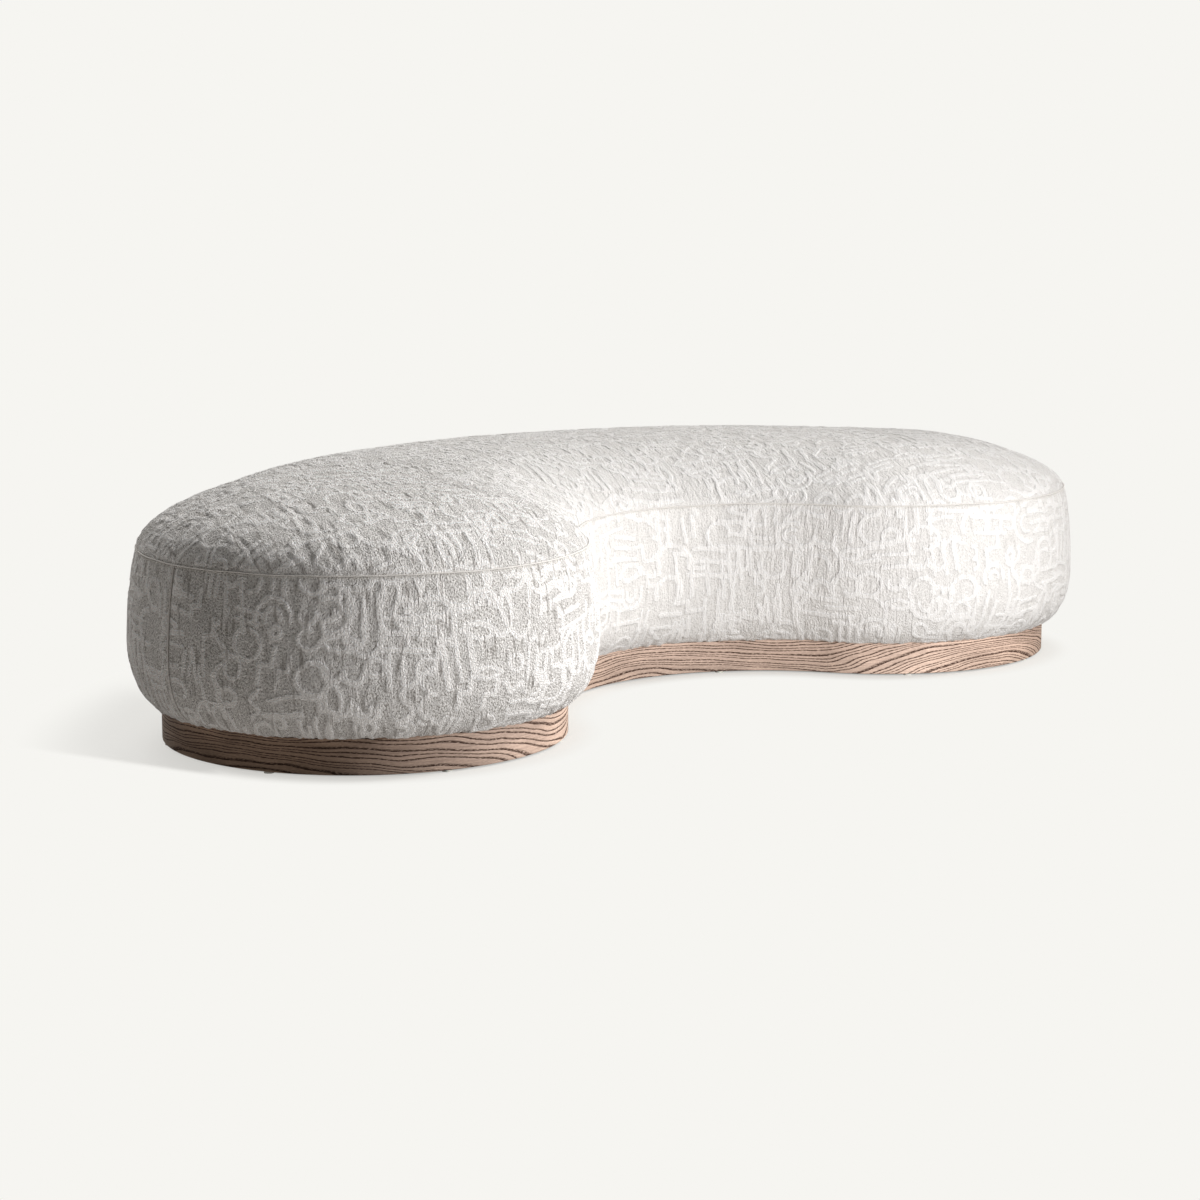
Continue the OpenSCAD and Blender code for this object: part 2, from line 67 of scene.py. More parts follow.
# Each arc's centre and radius, and -1 where the way into the body is against its radius
ARCS = {
    "right": (LOBE_X, LOBE_Y, LOBE_R, -1),
    "back": (0.0, LOBE_Y - BACK_DROP, BACK_R, -1),
    "left": (-LOBE_X, LOBE_Y, LOBE_R, -1),
    "bay": (0.0, LOBE_Y - BAY_DROP, BAY_R, 1),
}
# Runs along the outline: an arc and the angles at its two ends
ROUND_PLAN = (
    ("right", BAY_ANGLE - 180, BACK_ANGLE),
    ("back", BACK_ANGLE, 180 - BACK_ANGLE),
    ("left", 180 - BACK_ANGLE, 360 - BAY_ANGLE),
    ("bay", 180 - BAY_ANGLE, BAY_ANGLE),
)
FRONT_BAND = (("left", 180, 360 - BAY_ANGLE), ROUND_PLAN[3], ("right", BAY_ANGLE - 180, 0))
BACK_BAND = (("right", 0, BACK_ANGLE), ROUND_PLAN[1], ("left", 180 - BACK_ANGLE, 180))

# Heights and insets of the frame and of the finished skin in millimetres. The filled cover is fuller on top
# than the solids' plain skin and a little slimmer at the sides.
PLINTH_TOP, WIDEST_Z, SEAM_Z, SEAT_Z = 62.0, 166.0, 316.0, 258.0
SEAM_IN, PLINTH_IN, HEM_IN, LINER_IN, FRAME_IN = 21.5, 56.0, 100.0, 52.8, 59.0
UNDER_POWER, CROWN_POWER = 1.95, 1.58
CROWN_H, CROWN_W, MIDDLE_RISE, SIDE_IN = 93.0, 225.0, 3.0, 5.8
COVER_T = 2.0
FLAT_IN = 225.0
# Where the skin turns up from the hem to the side, as a length from the hem
TURN_UP = HEM_IN - PLINTH_IN
# The seat cushion's underside and the side that the bands cover, as inset and height
SEAT_UNDER = np.array([[FLAT_IN, SEAT_Z + 0.4], [22.8, SEAT_Z + 0.4], [24.6, 287.0], [25.6, 314.6]])
# Beyond this distance in millimetres the ground takes no notice of a stroke
REACH = 12.0
# Sizes of the coarse skins that are blown up as cloth: points along a lobe and a long side, rows, sewn rows
# under a band, and the spacing along a band in millimetres
COARSE_LOBE, COARSE_RUN, COARSE_CROWN, COARSE_MIDDLE = 64, 76, 19, 14
COARSE_BAND, SEWN_ROWS, COARSE_CELL = 25, 5, 15
# Lengths of cloth in millimetres: round a lobe, along a side, over the crown, on to the middle, and up a band
SEAT_LENGTHS, BAND_LENGTH = (1277, 1820, 245, 180), 345
# Depth of the seat's creases, and how much fuller the left shoulder and how much lower the right end is,
# over which width, in millimetres
CREASE_DEPTH, LEFT_FULLER, RIGHT_LOWER, SHOULDER_W = 1.5, 8.5, 8.0, 150
# Where the cover laps over the plinth's edge: its inset, width and height there
LAP_IN, LAP_W, LAP_H = 46, 7, 1.3
# The wall of the plinth: its lower edge, over the glides, and its thickness
WALL_LOW, WALL_T = 3.0, 18
# How far the figure is drawn past a band's edges, and the half length and width it covers on the seat
FIGURE_EDGE, SEAT_FIGURE = 60, np.array([1120, 680])


def linear(hex_colour):
    """The linear colour, with alpha, of an sRGB hex value such as 'e8e4de'."""
    channels = [int(hex_colour[i : i + 2], 16) / 255 for i in (0, 2, 4)]
    return tuple(c / 12.92 if c <= 0.04045 else ((c + 0.055) / 1.055) ** 2.4 for c in channels) + (1.0,)


def unit(angle):
    """Directions in the plan from angles in radians."""
    return np.column_stack([np.cos(angle), np.sin(angle)])


def run_length(arc, start, end):
    """The length of a run along the outline."""
    return ARCS[arc][2] * abs(math.radians(end - start))


def walk(runs, counts, closed=False):
    """Points along the outline, the way inwards there, the length so far and the place along the runs."""
    parts, so_far = [], 0.0
    for k, ((arc, start, end), count) in enumerate(zip(runs, counts)):
        share = np.arange(count + (k == len(runs) - 1 and not closed)) / count
        x, y, radius, turn = ARCS[arc]
        way = unit(np.radians(start + (end - start) * share))
        length = run_length(arc, start, end)
        parts.append((way * radius + (x, y), way * turn, so_far + length * share, k + share))
        so_far += length
    xy, inward, s, place = (np.concatenate(part) for part in zip(*parts))
    return SimpleNamespace(xy=xy, inward=inward, s=s, place=place, length=so_far)


def lengths_of(line):
    """How far along it each point of a polyline lies."""
    return np.concatenate([[0.0], np.cumsum(np.linalg.norm(np.diff(line, axis=0), axis=1))])


def resampled(line, count):
    """The polyline with that many points, evenly spaced."""
    at = lengths_of(line)
    wanted = np.linspace(0, at[-1], count)
    return np.column_stack([np.interp(wanted, at, column) for column in line.T])


def rounded(line, reach):
    """The evenly spaced polyline smoothed over that many points, with its ends kept."""
    head = 2 * line[0] - line[reach:0:-1]
    tail = 2 * line[-1] - line[-2 : -reach - 2 : -1]
    longer = np.concatenate([head, line, tail])
    weight = np.exp(-0.5 * (np.arange(-reach, reach + 1) / (reach / 2.5)) ** 2)
    weight /= weight.sum()
    return np.column_stack([np.convolve(column, weight, "valid") for column in longer.T])


def side_line():
    """The side's skin from the turn-under's edge up to the seam, as inset and height."""
    turn = np.radians(np.linspace(0, 90, 240))
    inset = PLINTH_IN * (1 - np.sin(turn) ** (2 / UNDER_POWER))
    height = PLINTH_TOP + (WIDEST_Z - PLINTH_TOP) * (1 - np.cos(turn) ** (2 / UNDER_POWER))
    rise = np.linspace(0, 1, 60)[1:]
    upper = np.column_stack([SEAM_IN * rise**2, WIDEST_Z + (SEAM_Z - WIDEST_Z) * rise])
    line = np.concatenate([[[HEM_IN, PLINTH_TOP]], np.column_stack([inset, height]), upper])
    line[:, 0] += SIDE_IN * np.sin(np.pi * (line[:, 1] - PLINTH_TOP) / (SEAM_Z - PLINTH_TOP))
    return resampled(line, 400)


def crown_line():
    """The crowned skin from the seam to where the seat is nearly flat, as inset and height."""
    turn = np.radians(np.linspace(0, 90, 300))
    inset = SEAM_IN + CROWN_W * (1 - np.cos(turn) ** (2 / CROWN_POWER))
    height = SEAM_Z + CROWN_H * np.sin(turn) ** (2 / CROWN_POWER)
    flat = [[SEAM_IN + CROWN_W + 80, SEAM_Z + CROWN_H + 1.2]]
    line = rounded(resampled(np.concatenate([np.column_stack([inset, height]), flat]), 300), 22)
    return resampled(line[line[:, 0] <= FLAT_IN], 300)


def outward(line):
    """The way out of the skin at each point of a line of insets and heights."""
    run = np.gradient(line, axis=0)
    run /= np.linalg.norm(run, axis=1)[:, None]
    return np.column_stack([-run[:, 1], run[:, 0]])


def inside_outline(x, y, inset):
    """How deep places lie inside the outline set in by that much, in millimetres, below 0 outside."""
    lobe = LOBE_R - inset - np.hypot(np.abs(x) - LOBE_X, y - LOBE_Y)
    turn = np.degrees(np.arctan2(y - LOBE_Y, np.abs(x) - LOBE_X))
    back = BACK_R - inset - np.hypot(x, y - ARCS["back"][1])
    bay = np.hypot(x, y - ARCS["bay"][1]) - BAY_R - inset
    between = (turn > BACK_ANGLE) | (turn < BAY_ANGLE - 180)
    return np.where(between, np.minimum(back, bay), lobe)


def leaning(columns, way):
    """The directions in space of ways given as inset and height, at every column of the outline."""
    xy = way[:, None, :1] * columns.inward[None]
    z = np.broadcast_to(way[:, None, 1:], xy.shape[:2] + (1,))
    return np.concatenate([xy, z], 2)


def spread(columns, line):
    """Rows of points: each place of a line of insets and heights, at every column of the outline."""
    points = leaning(columns, line)
    points[:, :, :2] += columns.xy
    return points


def quads(rows, columns, rows_close=False, columns_close=False):
    """Faces between rows of points, which may close on themselves either way."""
    steps = np.arange(rows - 1 + rows_close), np.arange(columns - 1 + columns_close)
    r, c = np.meshgrid(*steps, indexing="ij")
    after, beside = (r + 1) % rows * columns, (c + 1) % columns
    return np.stack([r * columns + c, r * columns + beside, after + beside, after + c], 2).reshape(-1, 4)


def turned_over(faces):
    """Four-cornered faces that look the other way, from the same first corner."""
    return faces[:, [0, 3, 2, 1]]


def placed(name, data):
    """A new object in the scene."""
    thing = bpy.data.objects.new(name, data)
    bpy.context.scene.collection.objects.link(thing)
    return thing


def mesh_piece(name, points, faces, material, uv=None, map_name="cloth", **fields):
    """A smooth mesh object in metres, from points and a map in millimetres, faces and values at points."""
    mesh = bpy.data.meshes.new(name)
    sizes = np.concatenate([np.full(len(f), f.shape[1]) for f in faces])
    corners = np.concatenate([f.ravel() for f in faces]).astype(np.int32)
    mesh.vertices.add(len(points))
    mesh.vertices.foreach_set("co", (points * MM).astype(np.float32).ravel())
    mesh.loops.add(len(corners))
    mesh.loops.foreach_set("vertex_index", corners)
    mesh.polygons.add(len(sizes))
    mesh.polygons.foreach_set("loop_start", np.concatenate([[0], np.cumsum(sizes)[:-1]]).astype(np.int32))
    mesh.update(calc_edges=True)
    mesh.polygons.foreach_set("use_smooth", np.ones(len(sizes), bool))
    if uv is not None:
        layer = mesh.uv_layers.new(name=map_name)
        layer.data.foreach_set("uv", (uv[corners] * MM).astype(np.float32).ravel())
    for field, values in fields.items():
        mesh.attributes.new(field, "FLOAT", "POINT").data.foreach_set("value", values.astype(np.float32))
    mesh.materials.append(material)
    mesh.update()
    return placed(name, mesh)


def declare(piece, slot, *nodes):
    """Hides the solids that a piece stands for, and lets it ride on the sofa. What it is covered in is not
    used.
    """
    if nodes:
        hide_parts(*nodes)
    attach(piece, BODY)
    return piece


def blended(lattice, x, y, smooth=False):
    """The values of a lattice at places between its points."""
    i, j = x.astype(int), y.astype(int)
    fx, fy = x - i, y - j
    if smooth:
        fx, fy = fx * fx * (3 - 2 * fx), fy * fy * (3 - 2 * fy)
    low = lattice[i, j] * (1 - fx) + lattice[i + 1, j] * fx
    high = lattice[i, j + 1] * (1 - fx) + lattice[i + 1, j + 1] * fx
    return low * (1 - fy) + high * fy


def value_noise(u, v, cell_u, cell_v, seed):
    """Smooth random heights from -1 to 1 on cells of that size in millimetres."""
    x, y = u / cell_u, v / cell_v
    x, y = x - math.floor(x.min()), y - math.floor(y.min())
    lattice = np.random.default_rng(seed).uniform(-1, 1, (int(x.max()) + 2, int(y.max()) + 2))
    return blended(lattice, x, y, smooth=True)


def smooth_step(value, low, high):
    """0 at low, 1 at high, and smooth between."""
    t = np.clip((value - low) / (high - low), 0, 1)
    return t * t * (3 - 2 * t)


def arc_stroke(radius, start, end, x=0.0, y=0.0):
    """Points of an arc about (x, y), from and to an angle in degrees."""
    return radius * unit(np.radians(np.linspace(start, end, max(4, int(abs(end - start) / 18))))) + (x, y)


def motif(kind, size, rng):
    """The strokes of one motif of the quilting, about its own middle."""
    if kind == "arches":
        return [arc_stroke(size * share, -20, 200) for share in (0.46, 1.0)[rng.integers(0, 2) :]]
    if kind == "leaf":
        bulge = arc_stroke(size * 1.3, 42, 138, 0, -0.92 * size)
        return [bulge, bulge * (1, -1)]
    if kind == "ripple":
        x = np.linspace(-1.25, 1.25, 17) * size
        return [np.column_stack([x, 0.34 * size * np.sin(x / size * 3.9)])]
    if kind == "ring":
        return [arc_stroke(size * rng.uniform(0.38, 0.75), 0, 360)]
    if kind == "bars":
        ends = rng.uniform(0.6, 1.25, (3, 2))
        places = ((-0.42, 0.34), (-0.6, 0.0, 0.6))[rng.integers(0, 2)]
        return [np.array([[x, -low], [x + 0.05, high]]) * size for x, (low, high) in zip(places, ends)]
    if kind == "scallops":
        return [arc_stroke(0.5 * size, 0, 180, x * size, 0) for x in (-0.5, 0.5)]
    if kind == "curl":
        angle = np.linspace(2.6, 8.4, 20)
        return [unit(angle) * (angle / 8.4 * 0.95 * size)[:, None]]
    return [np.array([[-0.7, -0.9], [-0.7, 0.0], [0.0, 0.0], [0.0, 0.9]]) * size]


# Motifs and quarter turns, each listed as often as it comes up
MOTIFS = ("arches", "arches", "leaf", "ripple", "ring", *["bars"] * 4, "scallops", "curl", "step")
QUARTER_TURNS = (0, 0, 1, 2, 2, 3)


class Figure:
    """The quilted figure: distances in millimetres to the edges of its raised strokes, below 0 on them."""

    CELL = 1.5

    def __init__(self, low, high, cloth, lean, seed):
        rng = np.random.default_rng(seed)
        self.low = np.array(low, float)
        self.field = np.full(((np.array(high) - self.low) / self.CELL).astype(int) + 2, REACH, np.float32)
        self.seed = seed
        pitch = cloth.pitch
        for x in np.arange(low[0], high[0] + pitch, pitch):
            for y in np.arange(low[1], high[1] + pitch, pitch):
                middle = np.array([x, y]) + rng.uniform(-0.32, 0.32, 2) * pitch
                size = pitch * rng.uniform(0.42, 0.9)
                turn = math.radians(lean + 90 * QUARTER_TURNS[rng.integers(0, 6)] + rng.uniform(-10, 10))
                spin = np.array([[math.cos(turn), math.sin(turn)], [-math.sin(turn), math.cos(turn)]])
                for line in motif(MOTIFS[rng.integers(0, len(MOTIFS))], size, rng):
                    self.draw(line @ spin + middle, cloth.stroke * rng.uniform(0.8, 1.25))

    def draw(self, line, half_width):
        """Lays one stroke down, over what is there."""
        margin = half_width + REACH
        first = np.maximum(((line.min(0) - margin - self.low) / self.CELL).astype(int), 0)
        last = np.minimum(((line.max(0) + margin - self.low) / self.CELL).astype(int) + 1, self.field.shape)
        if (last <= first).any():
            return
        x = self.low[0] + self.CELL * np.arange(first[0], last[0])[:, None]
        y = self.low[1] + self.CELL * np.arange(first[1], last[1])[None, :]
        near = np.full(last - first, 1e9)
        for (ax, ay), (bx, by) in zip(line[:-1], line[1:]):
            run2 = max((bx - ax) ** 2 + (by - ay) ** 2, 1e-9)
            t = np.clip(((x - ax) * (bx - ax) + (y - ay) * (by - ay)) / run2, 0, 1)
            near = np.minimum(near, (x - ax - t * (bx - ax)) ** 2 + (y - ay - t * (by - ay)) ** 2)
        window = self.field[first[0] : last[0], first[1] : last[1]]
        np.minimum(window, np.sqrt(near) - half_width, out=window)

    def at(self, u, v):
        """The distance at places on the cloth, where the weave has pulled the strokes uneven."""
        seed = self.seed
        u, v = (
            u + 2.6 * value_noise(u, v, 31.0, 27.0, seed + 1) + 0.7 * value_noise(u, v, 7.0, 9.0, seed + 2),
            v + 2.6 * value_noise(u, v, 29.0, 33.0, seed + 3) + 0.7 * value_noise(u, v, 9.0, 7.0, seed + 4),
        )
        x = np.clip((u - self.low[0]) / self.CELL, 0, self.field.shape[0] - 1.001)
        y = np.clip((v - self.low[1]) / self.CELL, 0, self.field.shape[1] - 1.001)
        return blended(self.field, x, y)


def relief(figure, u, v, cloth, seed):
    """How far the cloth stands off its plain skin, in millimetres, for its figure and its crinkle."""
    on_stroke = 1 - smooth_step(figure, -2.0, 2.0)
    rim = np.exp(-(((figure + 0.6) / 1.8) ** 2))
    bent = u + 3.5 * value_noise(u, v, 23.0, 31.0, seed + 4)
    ribs = value_noise(bent, v, 6.2, 21.0, seed) + 0.75 * value_noise(bent, v, 11.0, 34.0, seed + 1)
    crumbs = value_noise(u, v, 5.6, 7.6, seed + 2)
    tight = smooth_step(value_noise(u, v, 70.0, 60.0, seed + 5), -0.5, 0.5)
    return (
        cloth.figure_height * (on_stroke - 0.4)
        + 0.4 * cloth.figure_height * rim
        + cloth.crinkle_height * (ribs * (0.55 + 0.35 * tight) + crumbs * 0.65) * (1 - 0.6 * on_stroke)
        + cloth.swell_height * value_noise(u, v, 55.0, 60.0, seed + 3)
    )


def cover_piece(name, points, faces, shown, uv, figure, nodes):
    """Makes a padded piece of the cover. The figure is how far its outer points are from a raised stroke."""
    field = np.full(len(points), REACH)
    field[shown] = figure
    material = bpy.data.materials.get("Chenille matelasse") or make_chenille(bpy.context.scene.low_sofa_cloth)
    piece = mesh_piece(name, points, faces, material, uv, figure=field)
    declare(piece, "chenille", *nodes)


def seam_dip(distance):
    """How far the cloth is pulled in at that distance from a seam, in millimetres."""
    return 1.1 * np.exp(-((distance / 6.0) ** 2))


STUFFING = {
    "quality": 6,
    "mass": 0.35,
    "tension_stiffness": 25,
    "compression_stiffness": 12,
    "shear_stiffness": 8,
    "bending_stiffness": 1.5,
    "use_pressure": True,
    "uniform_pressure_force": 3.0,
    "vertex_group_mass": "sewn",
    "shrink_min": 0,
}
STUFFING_FRAMES = 20


def stuffed(points, faces, free, most):
    """How far each point moves, in millimetres, when the closed skin is blown up as cloth.

    All points but a free range are sewn down, and none moves further than the most.
    """
    scene = bpy.context.scene
    piece = mesh_piece("stuffing", points, faces, None)
    sewn = np.setdiff1d(np.arange(len(points)), np.arange(*free))
    piece.vertex_groups.new(name="sewn").add(sewn.tolist(), 1.0, "REPLACE")
    cloth = piece.modifiers.new("Cloth", "CLOTH")
    for name, value in STUFFING.items():
        setattr(cloth.settings, name, value)
    cloth.settings.effector_weights.gravity = 0
    cloth.collision_settings.use_collision = False
    cloth.point_cache.frame_start, cloth.point_cache.frame_end = 1, STUFFING_FRAMES
    for number in range(1, STUFFING_FRAMES + 1):
        scene.frame_set(number)
    shown = piece.evaluated_get(bpy.context.evaluated_depsgraph_get())
    moved = np.empty(len(points) * 3, np.float32)
    shown.data.vertices.foreach_get("co", moved)
    scene.frame_set(1)
    mesh = piece.data
    bpy.data.objects.remove(piece)
    bpy.data.meshes.remove(mesh)
    shift = moved.reshape(-1, 3).astype(float) / MM - points
    far = np.linalg.norm(shift, axis=1)[:, None]
    return shift * (most * np.tanh(far / most) / np.maximum(far, 1e-6))


def carried_over(shift, coarse_rows, coarse_places, rows, places):
    """The coarse grid's movement on a finer grid, from where each row and column lies."""
    by_row = np.empty((len(rows),) + shift.shape[1:])
    for c, k in np.ndindex(shift.shape[1:]):
        by_row[:, c, k] = np.interp(rows, coarse_rows, shift[:, c, k])
    low = np.clip(np.searchsorted(coarse_places, places, "right") - 1, 0, len(coarse_places) - 2)
    t = ((places - coarse_places[low]) / (coarse_places[low + 1] - coarse_places[low]))[:, None]
    return by_row[:, low] * (1 - t) + by_row[:, low + 1] * t


def millimetres(name, description, default, low, high):
    """A size to set in the sidebar."""
    about = description + ", in millimetres"
    return FloatProperty(name=name, description=about, default=default, min=low, max=high)


def degrees(name, description, default):
    """An angle to set in the sidebar."""
    return FloatProperty(name=name, description=description, default=math.radians(default), subtype="ANGLE")


def colour(name, description, default):
    """A colour to set in the sidebar, from its hex value."""
    tint = linear(default)[:3]
    return FloatVectorProperty(name=name, description=description, subtype="COLOR", default=tint)


class LowSofaCloth(bpy.types.PropertyGroup):
    """Sizes and colours of the quilted cover."""

    cell: millimetres("Cell", "Spacing of the cover's mesh", 2.8, 2.2, 12)
    stroke: millimetres("Stroke", "Half of the width of a raised stroke", 3.4, 2, 9)
    pitch: millimetres("Pitch", "Distance from one motif to the next", 47, 30, 120)
    figure_height: millimetres("Figure height", "How far the strokes are raised", 1.3, 0, 4)
    crinkle_height: millimetres("Crinkle height", "Height of the ground's crinkle", 0.75, 0, 2)
    swell_height: millimetres("Swell", "Height of the padding's soft unevenness", 0.45, 0, 3)
    top_lean: degrees("Lean on top", "Direction of the cloth's ribs on the seat, from the sofa's length", 73)
    seed: IntProperty(name="Seed", description="Start of everything random in the figure", default=7, min=0)
    ground: colour("Ground", "Colour of the chenille ground", "e4e0db")
    raised: colour("Strokes", "Colour of the smooth raised strokes", "eeecea")
    # The flecks' colour also serves as painted shade in the hollows between the tufts and in the creases
    fleck_and_shade: colour("Flecks", "Colour of the gaps in the ground", "8b837b")


class LowSofaPlinth(bpy.types.PropertyGroup):
    """Sizes and colours of the bent ash plinth."""

    edge: millimetres("Eased edge", "Radius of the wall's edges", 1.5, 0.3, 4)
    ring: millimetres("Ring spacing", "Spacing of the growth rings", 5.2, 3, 20)
    pale: colour("Late wood", "Colour of the wood between the pores", "a68c79")
    dark: colour("Pores", "Colour of the stained pores", "37261d")


class LowSofaStage(bpy.types.PropertyGroup):
    """The camera, the lamps and the backdrop."""

    camera: FloatVectorProperty(
        name="Camera",
        description="Where the camera stands",
        subtype="TRANSLATION",
        default=(-3.282, -3.657, 0.938),
    )
    heading: degrees("Heading", "Direction the camera looks, from +X", 47.72)
    pitch: degrees("Pitch", "How far the camera looks down", 9.43)
    lens: millimetres("Lens", "Focal length", 81.75, 20, 200)
    backdrop: colour("Backdrop", "Colour of the floor and the wall behind", "f6f5f1")


SMOOTH = {"interpolation_type": "SMOOTHSTEP"}
RGBA = {"data_type": "RGBA"}


def put(tree, kind, inputs, out=None, **settings):
    """Adds a node, whose kind may be followed by its operation, and gives back its first or its named output.

    Numbers, colours and other nodes' outputs go into the inputs that are in use, in order, or by name.
    """
    kind, _, operation = kind.partition(" ")
    node = tree.nodes.new(kind if "Node" in kind else "ShaderNode" + kind)
    if operation:
        node.operation = operation
    for name, value in settings.items():
        setattr(node, name, value)
    if isinstance(inputs, list):
        inputs = dict(zip((k for k, socket in enumerate(node.inputs) if socket.enabled), inputs))
    for name, value in inputs.items():
        if isinstance(value, bpy.types.NodeSocket):
            tree.links.new(value, node.inputs[name])
        else:
            node.inputs[name].default_value = value
    return node.outputs[out] if out else next((socket for socket in node.outputs if socket.enabled), node)


def surface(name, **values):
    """A new material with these constant values in its Principled shader, and what adds nodes to it."""
    material = bpy.data.materials.new(name)
    material.use_nodes = True
    for socket, value in values.items():
        material.node_tree.nodes["Principled BSDF"].inputs[socket.replace("_", " ")].default_value = value
    return material, partial(put, material.node_tree)


def lead_in(material, colour, rough=None, bump=None):
    """Leads a colour, a roughness and a bump into the material's shader.

    A list of colours and the roughness are a share and the two ends that it runs between. The bump is its
    height, its strength and its depth in metres.
    """
    tree = material.node_tree
    sockets = tree.nodes["Principled BSDF"].inputs
    if isinstance(colour, list):
        colour = put(tree, "Mix", colour, **RGBA)
    tree.links.new(colour, sockets["Base Color"])
    if rough:
        share, low, high = rough
        tree.links.new(put(tree, "MapRange", [share, 0.0, 1.0, low, high]), sockets["Roughness"])
    if bump:
        normal = put(tree, "Bump", dict(zip(("Height", "Strength", "Distance"), bump)))
        tree.links.new(normal, sockets["Normal"])


def stretched_fields(add, place, *rows):
    """Fields of noise on a map, one for each row of cell size in metres, detail and roughness."""
    fields = []
    for size, *rest in rows:
        scale = [*(1 / side for side in size), 1.0][:3]
        cells = add("Mapping", {"Vector": place, "Scale": scale})
        fields.append(add("TexNoise", [cells, 1.0, *rest]))
    return fields


def make_chenille(cloth):
    """Off-white quilted chenille: smooth pale strokes with a fine rim on a pebbly, flecked ground, with painted
    light and shade.
    """
    material, add = surface(
        "Chenille matelasse", Roughness=0.95, Sheen_Weight=0.08, Sheen_Roughness=0.6, Specular_IOR_Level=0.12
    )
    ground, raised, fleck_and_shade = ((*shade, 1.0) for shade in (cloth.ground, cloth.raised, cloth.fleck_and_shade))
    place = add("UVMap", [], uv_map="cloth")
    figure = add("Attribute", [], out="Fac", attribute_name="figure")
    stroke = add("MapRange", [figure, 1.1, -1.1], **SMOOTH)
    off_stroke = add("Math SUBTRACT", [1.0, stroke])
    off_rim = add("Math ABSOLUTE", [add("Math ADD", [figure, 0.5])])
    rim = add("MapRange", [off_rim, 0.1, 1.1, 0.6, 0.0], **SMOOTH)
    tuft, rib, thread, crease = stretched_fields(
        add,
        place,
        # Chenille tufts about 3 mm apart, drawn out along the warp
        ((0.0029, 0.0038), 2.0, 0.7),
        # Fine ribs about 4.5 mm apart that run with the warp
        ((0.0045, 0.024), 2.0),
        # Threads 1.4 mm apart, coarser than the real half millimetre so that they show
        ((0.0014, 0.0014), 0.0),
        # Short creases about 3 mm wide and 60 mm long that run with the warp where the cover lies loose
        ((0.0085, 0.055), 1.0),
    )
    pile = add("MapRange", [tuft, 0.3, 0.7], **SMOOTH)
    # Across the waist and the right half the cover is drawn tighter, and its ground lies flatter
    length = add("SeparateXYZ", [add("TexCoord", [], out="Object")], out="X")
    loose = add("MapRange", [length, -0.1, -0.55, 0.32, 1.0], **SMOOTH)
    crease = add("MapRange", [crease, 0.6, 0.7], **SMOOTH)
    crease = add("Math MULTIPLY", [crease, loose])
    tuft_height = add("MapRange", [off_stroke, 0.0, 1.0, 2.8, 4.2])
    tuft_height = add("Math MULTIPLY", [tuft_height, loose])
    height = add("Math MULTIPLY", [pile, tuft_height])
    for field, share in ((rib, 3.3), (thread, 0.4), (stroke, 0.4), (rim, 0.6), (crease, -1.4)):
        height = add("Math MULTIPLY_ADD", [field, share, height])
    # The gaps between the tufts are darker: partly the backing, where it shows, and partly painted shade in the
    # hollows
    gaps_and_hollow_shade = add("MapRange", [tuft, 0.5, 0.34, 0.0, 0.85], **SMOOTH)
    open_share = add("MapRange", [off_stroke, 0.0, 1.0, 0.3, 1.0])
    for share in (open_share, loose):
        gaps_and_hollow_shade = add("Math MULTIPLY", [gaps_and_hollow_shade, share])
    fill = add("Math MULTIPLY", [stroke, 0.15])
    # Painted shade: the creases are darkened half-way towards the flecks' colour
    fold_painted_shade = add("Math MULTIPLY", [crease, 0.5])
    shown = ground
    for share, over in ((fill, raised), (gaps_and_hollow_shade, fleck_and_shade), (rim, raised), (fold_painted_shade, fleck_and_shade)):
        shown = add("Mix", [share, shown, over], **RGBA)
    # Painted light: loose tufts light each other, which a bumped surface does not, so their colour is made
    # brighter
    gain = add("MapRange", [loose, 0.32, 1.0, 1.01, 1.31])
    # Painted shade: towards the right end the colour is made up to a tenth darker
    right_end_painted_shade = add("MapRange", [length, 0.42, 0.8, 1.0, 0.9], **SMOOTH)
    gain = add("Math MULTIPLY", [gain, right_end_painted_shade])
    lead_in(material, add("VectorMath MULTIPLY", [shown, gain]), bump=(height, 1.0, 0.001))
    return material


